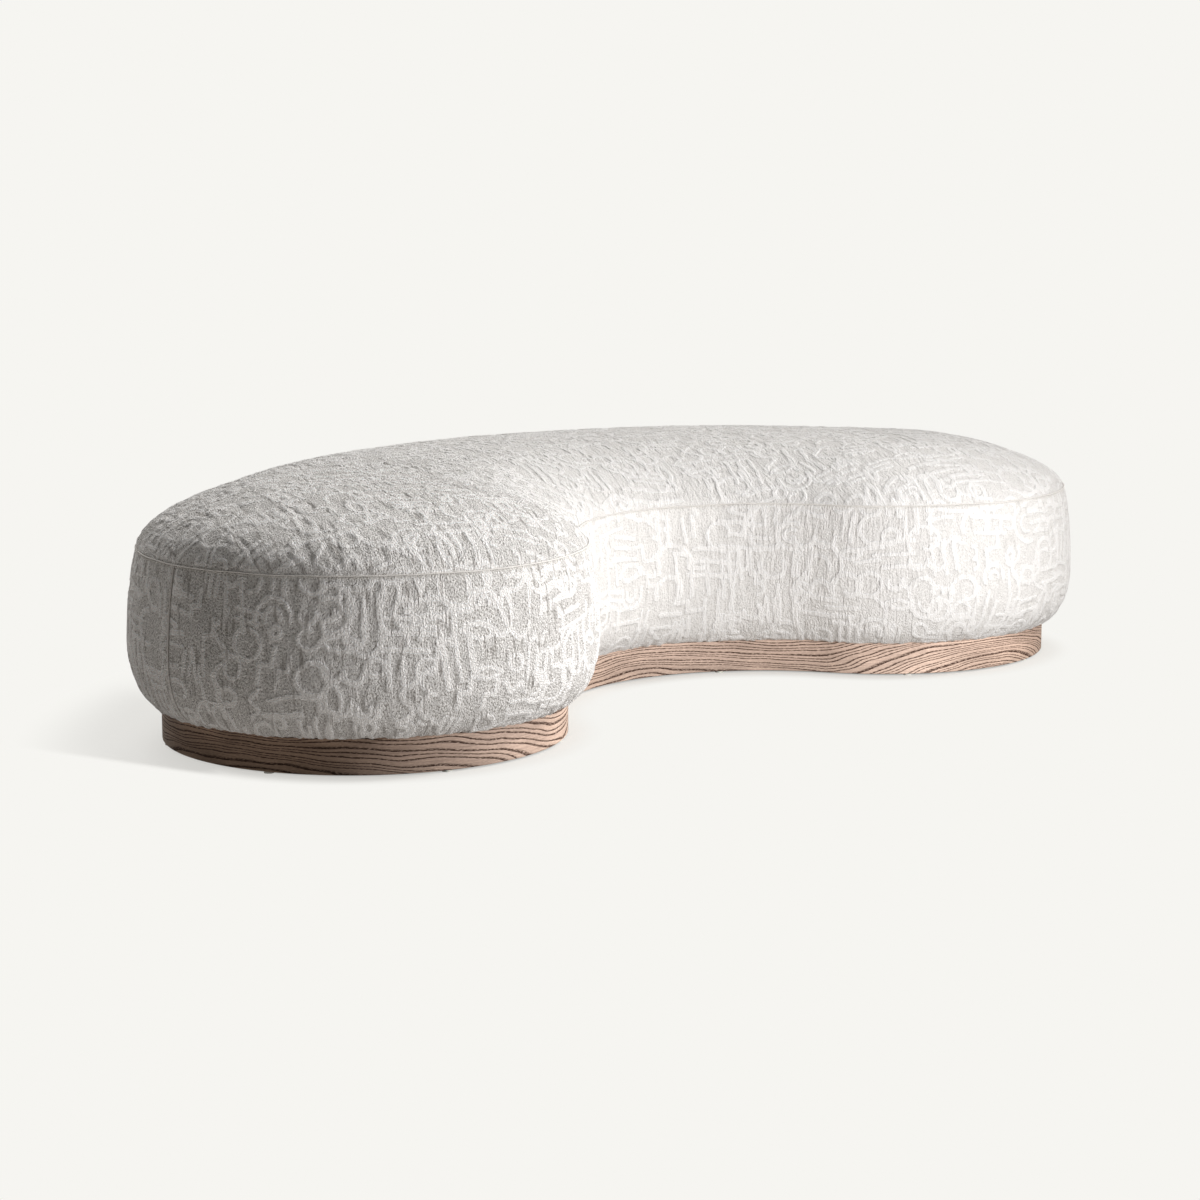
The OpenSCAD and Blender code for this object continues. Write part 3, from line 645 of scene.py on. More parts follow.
def make_ash(plinth):
    """Open-grained ash veneer, stained: dark pores along each ring, pale late wood and matt lacquer."""
    material, add = surface("Stained ash veneer", Specular_IOR_Level=0.04, IOR=1.5)
    place = add("UVMap", [], uv_map="grain")
    drift, ripple, depth, pores, streaks, shade = stretched_fields(
        add,
        place,
        ((0.34, 0.09), 2.0),
        ((0.07, 0.03), 1.0),
        ((0.62, 0.8), 0.0),
        # Pores are short dashes along the grain, about 0.7 mm by 7 mm
        ((0.007, 0.0011), 2.0, 0.7),
        ((0.055, 0.0016), 3.0),
        ((0.11, 0.035), 2.0),
    )
    # The veneer is sliced from a log: each place has a height across the grain and a depth into the log
    sliced = add("SeparateXYZ", [place]).node.outputs
    height = add("Math MULTIPLY_ADD", [drift, 0.05, sliced["Y"]])
    height = add("Math ADD", [height, 0.02])
    height = add("Math MULTIPLY_ADD", [ripple, 0.006, height])
    depth = add("Math MULTIPLY_ADD", [depth, 0.16, -0.03])
    # 2.2 m along the veneer its cut comes close to the middle of the log, and the rings close into a flame
    flame = add("Math ABSOLUTE", [add("Math SUBTRACT", [sliced["X"], 2.2])])
    away = add("MapRange", [flame, 0.03, 0.36], **SMOOTH)
    depth = add("Math MULTIPLY", [depth, away])
    height = add("Math ADD", [height, add("Math MULTIPLY_ADD", [away, 0.036, -0.046])])
    height2 = add("Math MULTIPLY", [height, height])
    radius = add("Math SQRT", [add("Math MULTIPLY_ADD", [depth, depth, height2])])
    turns = add("Math DIVIDE", [radius, plinth.ring * MM])
    # Wide and narrow years
    years = add("TexNoise", [turns, 0.45, 0.0], noise_dimensions="1D")
    turns = add("Math MULTIPLY_ADD", [years, 1.6, turns])
    # Early wood: a band of pores at the start of each ring, about a third of it, that fades into the late
    # wood
    early = add("ValToRGB", [add("Math FRACT", [turns])])
    ramp = early.node.color_ramp.elements
    ramp[0].position, ramp[0].color = 0.0, (1, 1, 1, 1)
    ramp[1].position, ramp[1].color = 0.36, (0.05, 0.05, 0.05, 1)
    for position, value in ((0.14, 0.95), (0.25, 0.45), (0.93, 0.0), (0.98, 0.8)):
        ramp.new(position).color = (value, value, value, 1)
    pore = add("MapRange", [pores, 0.36, 0.56], **SMOOTH)
    dark = add("Math MULTIPLY", [early, pore])
    dark = add("Math MULTIPLY_ADD", [early, 0.35, dark])
    fine = add("Math MULTIPLY", [pore, 0.22])
    dark = add("Math ADD", [dark, fine], use_clamp=True)
    low, high = (tuple(min(1, c * gain) for c in plinth.pale) + (1.0,) for gain in (0.5, 1.5))
    pale = add("Mix", [streaks, low, high], **RGBA)
    tone = add("VectorMath MULTIPLY", [pale, add("MapRange", [shade, 0.3, 0.7, 0.8, 1.12])])
    sunk = add("Math MULTIPLY", [dark, -0.35])
    lead_in(material, [dark, tone, (*plinth.dark, 1.0)], (dark, 0.46, 0.72), (sunk, 0.8, 0.001))
    return material


def make_plywood(name, ply_axis, grain_size):
    """Birch plywood: sanded faces with faint figure, and light and dark plies of 1.4 mm on the cut edges."""
    material, add = surface(name, Specular_IOR_Level=0.3)
    place = add("TexCoord", [], out="Object")
    normal = add("NewGeometry", [], out="True Normal")
    facing = add("Math ABSOLUTE", [add("SeparateXYZ", [normal], out=ply_axis)])
    on_face = add("Math GREATER_THAN", [facing, 0.7])
    along = add("SeparateXYZ", [place], out=ply_axis)
    plies = add("Math SINE", [add("Math MULTIPLY", [along, math.pi / 0.0014])])
    plies = add("MapRange", [plies, -0.3, 0.3], **SMOOTH)
    grain = stretched_fields(add, place, (grain_size, 4.0))[0]
    face = add("Mix", [grain, linear("b98f5c"), linear("dcbf92")], **RGBA)
    edge = add("Mix", [plies, linear("a67b4c"), linear("d3b384")], **RGBA)
    lead_in(material, [on_face, edge, face], (grain, 0.55, 0.72), (grain, 0.35, 0.0006))
    return material


def make_dust_cloth():
    """Spun-bonded dust cloth: a thin black-grey felt, embossed with dots 2 mm apart."""
    material, add = surface("Spun-bonded cloth", Roughness=0.88, Sheen_Weight=0.1, Specular_IOR_Level=0.2)
    place = add("TexCoord", [], out="Object")
    dots = add("TexVoronoi", {"Vector": place, "Scale": 480.0, "Randomness": 0.25})
    fibre = add("TexNoise", [place, 160.0, 5.0])
    field = add("Math ADD", [dots, fibre])
    lead_in(material, [fibre, linear("232326"), linear("4b4b50")], bump=(field, 0.5, 0.0005))
    return material


def make_webbing():
    """Woven elastic webbing: dark grey, with ribs across the strap about 2 mm apart."""
    material, add = surface("Elastic webbing", Roughness=0.85, Sheen_Weight=0.1, Specular_IOR_Level=0.2)
    place = add("TexCoord", [], out="Object")
    ribs = add("TexWave", [place, 250.0, 0.6], out="Fac", bands_direction="Y")
    field = add("Math MULTIPLY", [ribs, add("TexNoise", [place, 900.0, 1.0])])
    lead_in(material, [field, linear("2d2d30"), linear("66666b")], bump=(field, 0.6, 0.0006))
    return material


def patterned(name, kind, inputs, ends, rough=None, bump=None, stretch=(1, 1, 1), setting={}, **values):
    """A material that follows one pattern of this kind, with its scale and detail, between two colours.

    The pattern may also run through a range of roughness, or raise a bump of a strength and depth in metres.
    """
    material, add = surface(name, **values)
    place = add("Mapping", {"Vector": add("TexCoord", [], out="Object"), "Scale": stretch})
    field = add(kind, [place, *inputs], out="Fac", **setting)
    lead_in(material, [field, *ends], rough and (field, *rough), bump and (field, *bump))
    return material


def make_shaded_seam_cloth(cloth):
    """The cover's cloth folded at a seam: pale, dense threads 2 mm apart, coarser than the real ones, with
    painted shade.
    """
    # Painted shade: the threads run from a greige darker than the cover to the ground's colour
    ends = linear("c9c3bb"), (*cloth.ground, 1.0)
    looks = {"Roughness": 0.9, "Sheen_Weight": 0.15, "Sheen_Roughness": 0.6, "Specular_IOR_Level": 0.15}
    return patterned("Folded chenille, painted shade", "TexNoise", [480.0, 2.0], ends, bump=(0.7, 0.001), **looks)


def make_thread():
    """Polyester sewing thread: cream, twisted."""
    ends, twist = (linear("cdc7bc"), linear("efece6")), {"bands_direction": "DIAGONAL"}
    looks = {"Roughness": 0.6, "Sheen_Weight": 0.1}
    return patterned("Sewing thread", "TexWave", [900.0], ends, setting=twist, **looks)


def make_pine():
    """Planed pine: honey-pale wood with soft growth lines 5 mm apart."""
    ends, saw = (linear("e3c896"), linear("c79c63")), {"wave_profile": "SAW"}
    looks = {"bump": (0.3, 0.0005), "stretch": (1.0, 1.0, 0.12), "Roughness": 0.6, "Specular_IOR_Level": 0.3}
    return patterned("Planed pine", "TexWave", [62.0, 5.0, 2.0], ends, setting=saw, **looks)


def make_zinc():
    """Zinc-plated steel: a cool satin metal with the plating's faint spangle."""
    ends = linear("a3a6aa"), linear("c4c7ca")
    return patterned("Zinc-plated steel", "TexNoise", [700.0, 2.0], ends, rough=(0.28, 0.46), Metallic=1.0)


def make_nylon():
    """Moulded nylon: off-white, waxy, with a fine eroded texture."""
    ends = linear("cbc7bd"), linear("d8d5cc")
    looks = {"Roughness": 0.5, "IOR": 1.53, "Subsurface_Weight": 0.1, "Subsurface_Scale": 0.002}
    return patterned("Moulded nylon", "TexNoise", [1400.0, 2.0], ends, bump=(0.3, 0.0002), **looks)


def seat_rows(columns, crown_rows, middle_rows):
    """Rows of the seat's skin from the seam to just before the middle, the middle's points, and their line."""
    crown = resampled(crown_line(), crown_rows)
    rows = spread(columns, crown)
    edge = rows[-1, :, :2]
    runs = columns.place
    back, bay = np.nonzero((runs >= 1) & (runs < 2))[0], np.nonzero(runs >= 3)[0]
    count = len(back)
    share = np.arange(count + 1) / count
    back_side = edge[np.append(back, back[-1] + 1)]
    bay_side = edge[np.append(bay, 0)][::-1]
    middle = (back_side + bay_side) / 2
    for end, lobe in ((0, LOBE_X), (-1, -LOBE_X)):
        ease = 1 - smooth_step(share if end == 0 else 1 - share, 0.0, 0.16)
        middle = middle + ease[:, None] * (np.array([lobe, LOBE_Y]) - middle[end])
    target = np.zeros(len(runs), int)
    target[back] = np.arange(count)
    target[(runs >= 2) & (runs < 3)] = count
    target[bay] = count - np.arange(count)
    q = (np.arange(1, middle_rows) / middle_rows)[:, None, None]
    top_z = SEAM_Z + CROWN_H + MIDDLE_RISE
    flat = edge[None] * (1 - q) + middle[target][None] * q
    z = crown[-1, 1] + (top_z - crown[-1, 1]) * (1 - (1 - q) ** 2)
    flat = np.concatenate([flat, np.broadcast_to(z, flat.shape[:2] + (1,))], 2)
    return np.concatenate([rows, flat]), np.column_stack([middle, np.full(count + 1, top_z)]), target, crown


def closing_faces(last_row, target, first_middle, downwards=False):
    """Faces between the last row of a closed grid and the points along its middle."""
    a = np.arange(len(target))
    b = (a + 1) % len(target)
    same = target[a] == target[b]
    inner = first_middle + target
    threes = np.column_stack([last_row + a, last_row + b, inner])[same]
    fours = np.column_stack([last_row + a, last_row + b, inner[b], inner])[~same]
    return (threes[:, ::-1], fours[:, ::-1]) if downwards else (threes, fours)


def seat_skin(columns, crown_rows, middle_rows):
    """The closed seat cushion: its points row by row from under the middle to the middle on top, and its faces.

    With them come the numbers of its first and last point on the rows that show, the crown's line, and the
    middle point that each column runs to.
    """
    rows, middle, target, crown = seat_rows(columns, crown_rows, middle_rows)
    under = spread(columns, SEAT_UNDER)
    below = middle * (1, 1, 0) + (0, 0, SEAT_UNDER[0, 1])
    n = len(target)
    grid = np.concatenate([under, rows])
    count = len(grid) * n
    top = closing_faces(count - n, target, count)
    bottom = closing_faces(0, target, count + len(middle), downwards=True)
    fours = np.concatenate([quads(len(grid), n, columns_close=True), top[1], bottom[1]])
    points = np.concatenate([grid.reshape(-1, 3), middle, below])
    return points, [fours, np.concatenate([top[0], bottom[0]])], (len(under) * n, count), crown, target


class LOWSOFA_OT_seat(bpy.types.Operator):
    """Makes the crowned seat cushion in its quilted cover"""

    bl_idname = "low_sofa.seat"
    bl_label = "Make Seat Cushion"

    def execute(self, context):
        cloth = context.scene.low_sofa_cloth
        coarse = walk(ROUND_PLAN, (COARSE_LOBE, COARSE_RUN) * 2, closed=True)
        points, faces, (first, last), _, target = seat_skin(coarse, COARSE_CROWN, COARSE_MIDDLE)
        n = len(target)
        shift = stuffed(points, faces, (first + n, last + COARSE_RUN + 1), 3.0)
        middle_shift = shift[last : last + COARSE_RUN + 1]
        # The coarse cushion's swelling, with its first column repeated so that it closes
        shift = np.concatenate([shift[first:last].reshape(-1, n, 3), middle_shift[target][None]])
        shift = np.concatenate([shift, shift[:, :1]], 1)

        lobe, run, crown_rows, middle_rows = (int(size / cloth.cell) for size in SEAT_LENGTHS)
        columns = walk(ROUND_PLAN, (lobe, run) * 2, closed=True)
        points, faces, (first, last), crown, target = seat_skin(columns, crown_rows, middle_rows)
        m = len(target)
        past_crown = 1 + np.arange(1, COARSE_MIDDLE + 1) / COARSE_MIDDLE
        coarse_rows = np.append(np.linspace(0, 1, COARSE_CROWN), past_crown)
        rows = np.append(np.linspace(0, 1, crown_rows), 1 + np.arange(1, middle_rows) / middle_rows)
        moved = carried_over(shift, coarse_rows, np.append(coarse.place, 4.0), rows, columns.place)
        skin = points[first:last].reshape(-1, m, 3) + moved
        share, coarse_share = np.linspace(0, 1, run + 1), np.linspace(0, 1, COARSE_RUN + 1)
        middle_moved = np.column_stack([np.interp(share, coarse_share, way) for way in middle_shift.T])
        middle = points[last : last + run + 1] + middle_moved

        # Places on the cloth: the plan, with the crown unrolled outwards
        up = lengths_of(crown)
        unrolled = FLAT_IN - (up[-1] - up)
        flat = columns.xy[None] + unrolled[:, None, None] * columns.inward[None]
        flat = np.concatenate([flat, skin[crown_rows:, :, :2]])
        x, y = np.concatenate([flat.reshape(-1, 2), middle[:, :2]]).T
        lean = cloth.top_lean
        v = math.cos(lean) * x + math.sin(lean) * y
        u = math.sin(lean) * x - math.cos(lean) * y
        figure = Figure(-SEAT_FIGURE, SEAT_FIGURE, cloth, math.degrees(lean), cloth.seed).at(x, y)
        height = relief(figure, u, v, cloth, cloth.seed + 20)
        # Short creases run with the warp across the seat, deepest at the left end
        wavy = u + 2.0 * value_noise(u, v, 40.0, 40.0, 5)
        creases = smooth_step(value_noise(wavy, v, 8.5, 48.0, cloth.seed + 30), 0.2, 0.75)
        height -= CREASE_DEPTH * creases * (1 - 0.8 * smooth_step(x, -450, 250))
        from_seam = np.append(np.repeat(up, m), np.full(len(height) - crown_rows * m, 400.0))
        height = height * smooth_step(from_seam, 2.0, 16.0) - seam_dip(from_seam)
        # The filling sits a little fuller at the left end's shoulder and lower at the right end
        shoulder = np.sin(np.pi * np.clip(from_seam / SHOULDER_W, 0, 1) ** 0.7)
        fuller = LEFT_FULLER * shoulder * (1 - smooth_step(x, -950, -420))
        height += fuller - RIGHT_LOWER * smooth_step(x, 380, 900) * smooth_step(from_seam, 5, 130)
        way = np.zeros((len(height), 3))
        way[:, 2] = 1
        way[: crown_rows * m] = leaning(columns, outward(crown)).reshape(-1, 3)
        shown = slice(first, first + len(height))
        points[shown] = np.concatenate([skin.reshape(-1, 3), middle]) + way * height[:, None]
        uv = points[:, :2].copy()
        uv[shown] = np.column_stack([u, v])
        solids = ("cover_top", "fibre_wrap", "seat_foam")
        cover_piece("seat_cushion", points, faces, shown, uv, figure, solids)
        return {"FINISHED"}


def band_skin(columns, outer_rows):
    """The closed side pad, row by row round its section.

    Its outer skin runs from the turn-under up to the seam, and its inner side back down. With its points come
    its faces and the outer line.
    """
    outer = resampled(side_line(), outer_rows)
    inside, below = LINER_IN - 0.4, PLINTH_TOP + COVER_T - 0.1
    sleeve = [[24.2, 315.4], [23.4, 287.0], [21.8, SEAT_Z]]
    lower = [[inside, SEAT_Z], [inside, 160.0], [inside, 74.0], [FRAME_IN, below], [HEM_IN, below]]
    points = spread(columns, np.concatenate([outer, sleeve, lower]))
    rows, n = points.shape[:2]
    r = np.arange(rows)
    caps = np.stack([r * n, r[::-1] * n + n - 1])
    return points.reshape(-1, 3), [quads(rows, n, rows_close=True), caps], outer


class LOWSOFA_OT_bands(bpy.types.Operator):
    """Makes the padded front and rear side bands, which round under to the plinth"""

    bl_idname = "low_sofa.bands"
    bl_label = "Make Side Bands"

    def execute(self, context):
        cloth = context.scene.low_sofa_cloth
        front = ("cover_band_front", "side_foam_left", "side_foam_bay", "side_foam_right")
        rear = ("cover_band_back", "side_foam_back")
        bands = (("band_front", FRONT_BAND, front), ("band_rear", BACK_BAND, rear))
        for k, (name, runs, nodes) in enumerate(bands):
            coarse = walk(runs, [int(run_length(*run) / COARSE_CELL) for run in runs])
            points, faces, _ = band_skin(coarse, COARSE_BAND)
            n = len(coarse.s)
            shift = stuffed(points, faces, (SEWN_ROWS * n, (COARSE_BAND - 1) * n), 1.6)[: COARSE_BAND * n]

            columns = walk(runs, [int(run_length(*run) / cloth.cell) for run in runs])
            outer_rows = int(BAND_LENGTH / cloth.cell)
            points, faces, outer = band_skin(columns, outer_rows)
            m = len(columns.s)
            shown = slice(0, outer_rows * m)
            skin = points[shown].reshape(outer_rows, m, 3) + carried_over(
                shift.reshape(-1, n, 3),
                np.linspace(0, 1, COARSE_BAND),
                coarse.place,
                np.linspace(0, 1, outer_rows),
                columns.place,
            )
            up = lengths_of(outer)
            u, v = np.broadcast_arrays(columns.s[None], up[:, None])
            low, high = (-FIGURE_EDGE, -FIGURE_EDGE), (columns.length + FIGURE_EDGE, up[-1] + FIGURE_EDGE)
            figure = Figure(low, high, cloth, 0.0, cloth.seed + 40 + k).at(u, v)
            height = relief(figure, u, v, cloth, cloth.seed + 60 + 7 * k)
            from_top = up[-1] - v
            from_end = np.minimum(u, columns.length - u)
            height *= smooth_step(from_top, 2.0, 14.0) * smooth_step(from_end, 1.0, 9.0)
            height *= smooth_step(v, TURN_UP + 1, TURN_UP + 9)
            # The cloth is gathered in soft scallops where it laps over the plinth
            lap = np.exp(-(((outer[:, 0] - LAP_IN) / LAP_W) ** 2)) * (outer[:, 1] < 90)
            broad = 0.7 * value_noise(u, v, 38.0, 90.0, cloth.seed + 90 + k)
            height += LAP_H * lap[:, None] * (1 + (broad + 0.9 * value_noise(u, v, 8.0, 60.0, 3 + k)))
            height -= seam_dip(from_top)
            height -= 0.4 * seam_dip(from_end) * smooth_step(v, TURN_UP + 8, TURN_UP + 40)
            skin = skin + leaning(columns, outward(outer)) * height[:, :, None]
            points[shown] = skin.reshape(-1, 3)
            uv = np.tile(columns.s[:, None], (len(points) // m, 2))
            uv[shown] = np.stack([u, v], 2).reshape(-1, 2)
            cover_piece(name, points, faces, shown, uv, figure.ravel(), nodes)
        return {"FINISHED"}


def swept(path, across, up, section, closed):
    """Points and faces of a section, in millimetres across and up, swept along a path."""
    points = path[:, None] + across[:, None] * section[None, :, :1] + up[:, None] * section[None, :, 1:]
    n, m = points.shape[:2]
    faces = [turned_over(quads(n, m, closed, columns_close=True))]
    if not closed:
        k = np.arange(m)
        faces.append(np.stack([k[::-1], (n - 1) * m + k]))
    return points.reshape(-1, 3), faces


def stitch_rows(path, material, **sizes):
    """A row of sewn stitches along a path in millimetres, laid out by Geometry Nodes, as a plain mesh.

    Their Pitch, Length and Thickness are in millimetres too.
    """
    mesh = bpy.data.meshes.new("stitch path")
    mesh.from_pydata([tuple(p) for p in path * MM], [(k, k + 1) for k in range(len(path) - 1)], [])
    carrier = placed("stitch path", mesh)
    tree = bpy.data.node_groups.new("Stitches", "GeometryNodeTree")
    tree.interface.new_socket("Geometry", in_out="INPUT", socket_type="NodeSocketGeometry")
    modifier = carrier.modifiers.new("Stitches", "NODES")
    add_size = partial(tree.interface.new_socket, in_out="INPUT", socket_type="NodeSocketFloat")
    identifiers = [add_size(name) for name in sizes]
    tree.interface.new_socket("Geometry", in_out="OUTPUT", socket_type="NodeSocketGeometry")
    add = partial(put, tree)
    given = add("NodeGroupInput", []).node.outputs
    curve = add("GeometryNodeMeshToCurve", {"Mesh": given["Geometry"]})
    spaced = {"Curve": curve, "Length": given["Pitch"]}
    places = add("GeometryNodeCurveToPoints", spaced, mode="LENGTH").node.outputs
    shape = add("GeometryNodeMeshUVSphere", {"Segments": 6, "Rings": 5, "Radius": 0.5})
    size = add("CombineXYZ", [given["Thickness"], given["Thickness"], given["Length"]])
    turn = add("FunctionNodeAlignRotationToVector", {"Vector": places["Tangent"]}, axis="Z")
    laid = {"Points": places["Points"], "Instance": shape, "Rotation": turn, "Scale": size}
    made = add("GeometryNodeInstanceOnPoints", laid)
    for kind in ("GeometryNodeRealizeInstances", "GeometryNodeSetShadeSmooth"):
        made = add(kind, [made])
    made = add("GeometryNodeSetMaterial", {"Geometry": made, "Material": material})
    add("NodeGroupOutput", {"Geometry": made})
    modifier.node_group = tree
    for socket, value in zip(identifiers, sizes.values()):
        modifier[socket.identifier] = value * MM
    shown = carrier.evaluated_get(bpy.context.evaluated_depsgraph_get())
    result = bpy.data.meshes.new_from_object(shown)
    bpy.data.objects.remove(carrier)
    bpy.data.meshes.remove(mesh)
    return result


class LOWSOFA_OT_seams(bpy.types.Operator):
    """Makes the raised seam round the seat with its stitches, and the two upright seams"""

    bl_idname = "low_sofa.seams"
    bl_label = "Make Seams"

    def execute(self, context):
        cloth = context.scene.low_sofa_cloth
        fold_painted_shade = make_shaded_seam_cloth(cloth)
        turn = np.radians(np.arange(0, 360, 36))
        columns = walk(ROUND_PLAN, (320, 530, 320, 166), closed=True)
        s = columns.s
        sway = 0.7 * value_noise(s, s * 0, 70.0, 50.0, cloth.seed + 5)
        sway += 0.35 * value_noise(s, s * 0, 19.0, 50.0, cloth.seed + 6)
        sway *= smooth_step(np.minimum(s, columns.length - s), 0, 60)
        path = np.column_stack([columns.xy + columns.inward * (SEAM_IN - 0.1), SEAM_Z + sway])
        out, upright = np.column_stack([-columns.inward, s * 0]), np.array([0, 0, 1.0])
        # The seam is tilted about 17 degrees, as the skin is there
        across, up = out * 0.955 + upright * 0.296, upright * 0.955 - out * 0.296
        lip = mesh_piece("seat_seam", *swept(path, across, up, unit(turn) * (1.5, 1.2), True), fold_painted_shade)
        declare(lip, "chenille_seam", "top_seam")
        below = path + out * 0.9 - upright * 2.9
        below = np.concatenate([below, below[:1]])
        stitches = stitch_rows(below, make_thread(), Pitch=5.2, Length=3.8, Thickness=0.9)
        declare(placed("seat_seam_stitches", stitches), "chenille_seam")

        outer = resampled(side_line(), 110)
        bare = (outer[:, 1] > PLINTH_TOP + 7) & (outer[:, 1] < SEAM_Z - 2)
        line, way = outer[bare], outward(outer)[bare]
        level, sunk = np.zeros(len(line)), way * -0.5
        ridges = []
        for side in (-1, 1):
            x = side * (BODY_L / 2 - line[:, 0] - sunk[:, 0])
            place = np.column_stack([x, level + LOBE_Y, line[:, 1] + sunk[:, 1]])
            out = np.column_stack([side * -way[:, 0], level, way[:, 1]])
            across = np.column_stack([level, level + side, level])
            ridges.append(swept(place, across, out, unit(turn) * 1.1, False))
        (left, left_faces), (right, right_faces) = ridges
        faces = [np.concatenate([a, b + len(left)]) for a, b in zip(left_faces, right_faces)]
        upright_seams = mesh_piece("upright_seams", np.concatenate([left, right]), faces, fold_painted_shade)
        declare(upright_seams, "chenille_seam", "band_seams")
        return {"FINISHED"}


def wall_section(edge):
    """The wall's section as inset and height, with its four edges eased and rows that keep its faces flat."""
    low, high, face, back = WALL_LOW, PLINTH_TOP, PLINTH_IN, PLINTH_IN + WALL_T
    points = []
    for inset, z, start in ((face, low, 180), (face, high, 90), (back, high, 0), (back, low, 270)):
        x = inset + (edge if inset == face else -edge)
        y = z + (edge if z == low else -edge)
        points.append(unit(np.radians(np.linspace(start + 90, start, 5))) * edge + (x, y))
    points = np.concatenate(points)
    section = []
    for k in range(4):
        arc = points[5 * k : 5 * k + 5]
        before, after = points[(5 * k - 1) % 20], points[(5 * k + 5) % 20]
        section += [arc[0] + (before - arc[0]) * 0.06, *arc, arc[-1] + (after - arc[-1]) * 0.06]
    return np.array(section)


class LOWSOFA_OT_plinth(bpy.types.Operator):
    """Makes the bent ash walls of the plinth with their grain along the bend"""

    bl_idname = "low_sofa.plinth"
    bl_label = "Make Plinth Walls"

    def execute(self, context):
        plinth = context.scene.low_sofa_plinth
        ash = make_ash(plinth)
        section = wall_section(plinth.edge)
        around = lengths_of(np.concatenate([section, section[:1]]))
        # The face shows the veneer at its own height, and the sides that are out of sight come after it
        height = np.where(section[:, 0] < PLINTH_IN + 2, section[:, 1], 70 + around[:-1])
        from_start = 0.0
        for arc, start, end in ROUND_PLAN[2:] + ROUND_PLAN[:2]:
            radius = ARCS[arc][2]
            shorter = (radius + PLINTH_IN * (1 if arc == "bay" else -1)) / radius
            gap = math.degrees(0.1 / radius) * (1 if end > start else -1)
            run = run_length(arc, start, end)
            columns = walk(((arc, start + gap, end - gap),), (int(run / 7),))
            points = spread(columns, section)
            m, n = points.shape[:2]
            points = points.transpose(1, 0, 2).reshape(-1, 3)
            s = columns.s[:, None] * shorter + from_start
            from_start += run * shorter
            uv = np.stack(np.broadcast_arrays(s, height[None]), 2).reshape(-1, 2)
            # The ends have corners of their own, so that they stay flat and sharp
            points, uv = (np.concatenate([rows, rows[:m], rows[-m:]]) for rows in (points, uv))
            k = np.arange(m)
            ends = np.stack([n * m + k, ((n + 1) * m + k)[::-1]])
            faces = [turned_over(quads(n, m, columns_close=True)), ends]
            wall = mesh_piece("plinth_" + arc, points, faces, ash, uv, "grain")
            declare(wall, "stained_ash", "plinth_wall_" + arc)
        return {"FINISHED"}


class LOWSOFA_OT_underside(bpy.types.Operator):
    """Makes the dust cloth under the frame and the webbing that carries the seat"""

    bl_idname = "low_sofa.underside"
    bl_label = "Make Dust Cloth and Webbing"

    def execute(self, context):
        columns = walk(ROUND_PLAN, (110, 150) * 2, closed=True)
        _, middle, target, _ = seat_rows(columns, 12, 10)
        sheet_z = PLINTH_TOP + COVER_T - 0.15
        rows = spread(columns, np.column_stack([np.linspace(HEM_IN + 4, FLAT_IN, 14), np.full(14, sheet_z)]))
        q = (np.arange(1, 16) / 16)[:, None, None]
        flat = rows[-1][None] * (1 - q) + middle[target][None] * q
        grid = np.concatenate([rows, flat])
        points = np.concatenate([grid.reshape(-1, 3), middle])
        count, n = grid.shape[:2]
        # The sheet is stapled along its rim, and sags a little inside it
        sag = 0.9 + 0.8 * value_noise(points[:, 0], points[:, 1], 45.0, 60.0, 3)
        points[:, 2] = sheet_z - np.where(np.arange(len(points)) >= 7 * n, sag, 0.0)
        threes, fours = closing_faces((count - 1) * n, target, count * n)
        faces = [np.concatenate([quads(count, n, columns_close=True), fours])[:, ::-1], threes[:, ::-1]]
        cloth = mesh_piece("dust_sheet", points, faces, make_dust_cloth())
        solid = cloth.modifiers.new("Thickness", "SOLIDIFY")
        solid.thickness = 0.0005
        solid.offset = -1
        declare(cloth, "dust_cloth", "dust_cloth")

        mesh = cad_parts["seat_webbing"].data.copy()
        bm = bmesh.new()
        bm.from_mesh(mesh)
        bmesh.ops.remove_doubles(bm, verts=bm.verts, dist=1e-6)
        bmesh.ops.dissolve_limit(bm, angle_limit=0.02, verts=bm.verts, edges=bm.edges)
        bmesh.ops.bevel(bm, geom=list(bm.edges), offset=0.0004, segments=2, affect="EDGES")
        bm.to_mesh(mesh)
        bm.free()
        mesh.materials.clear()
        mesh.materials.append(make_webbing())
        declare(placed("seat_straps", mesh), "webbing", "seat_webbing")
        return {"FINISHED"}


class LOWSOFA_OT_solids(bpy.types.Operator):
    """Gives the boards, blocks, bolts and glides that stay as solids their finishes"""

    bl_idname = "low_sofa.solids"
    bl_label = "Finish Frame and Hardware"

    def execute(self, context):
        finishes = {
            make_plywood("Birch plywood, lying", "Z", (0.004, 0.05, 0.01)): (
                "plinth_ring base_board seat_deck frame_liner"
            ),
            make_plywood("Birch plywood, across", "X", (0.01, 0.05, 0.004)): "plinth_ribs frame_bulkheads",
            make_plywood("Birch plywood, along", "Y", (0.05, 0.01, 0.004)): "frame_spine",
            make_pine(): "plinth_splice_blocks frame_glue_blocks",
            make_zinc(): "plinth_bolts plinth_washers tee_nuts deck_screws",
            make_nylon(): "floor_glides",
        }
        for material, names in finishes.items():
            for name in names.split():
                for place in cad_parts[name].material_slots:
                    place.material = material
        return {"FINISHED"}


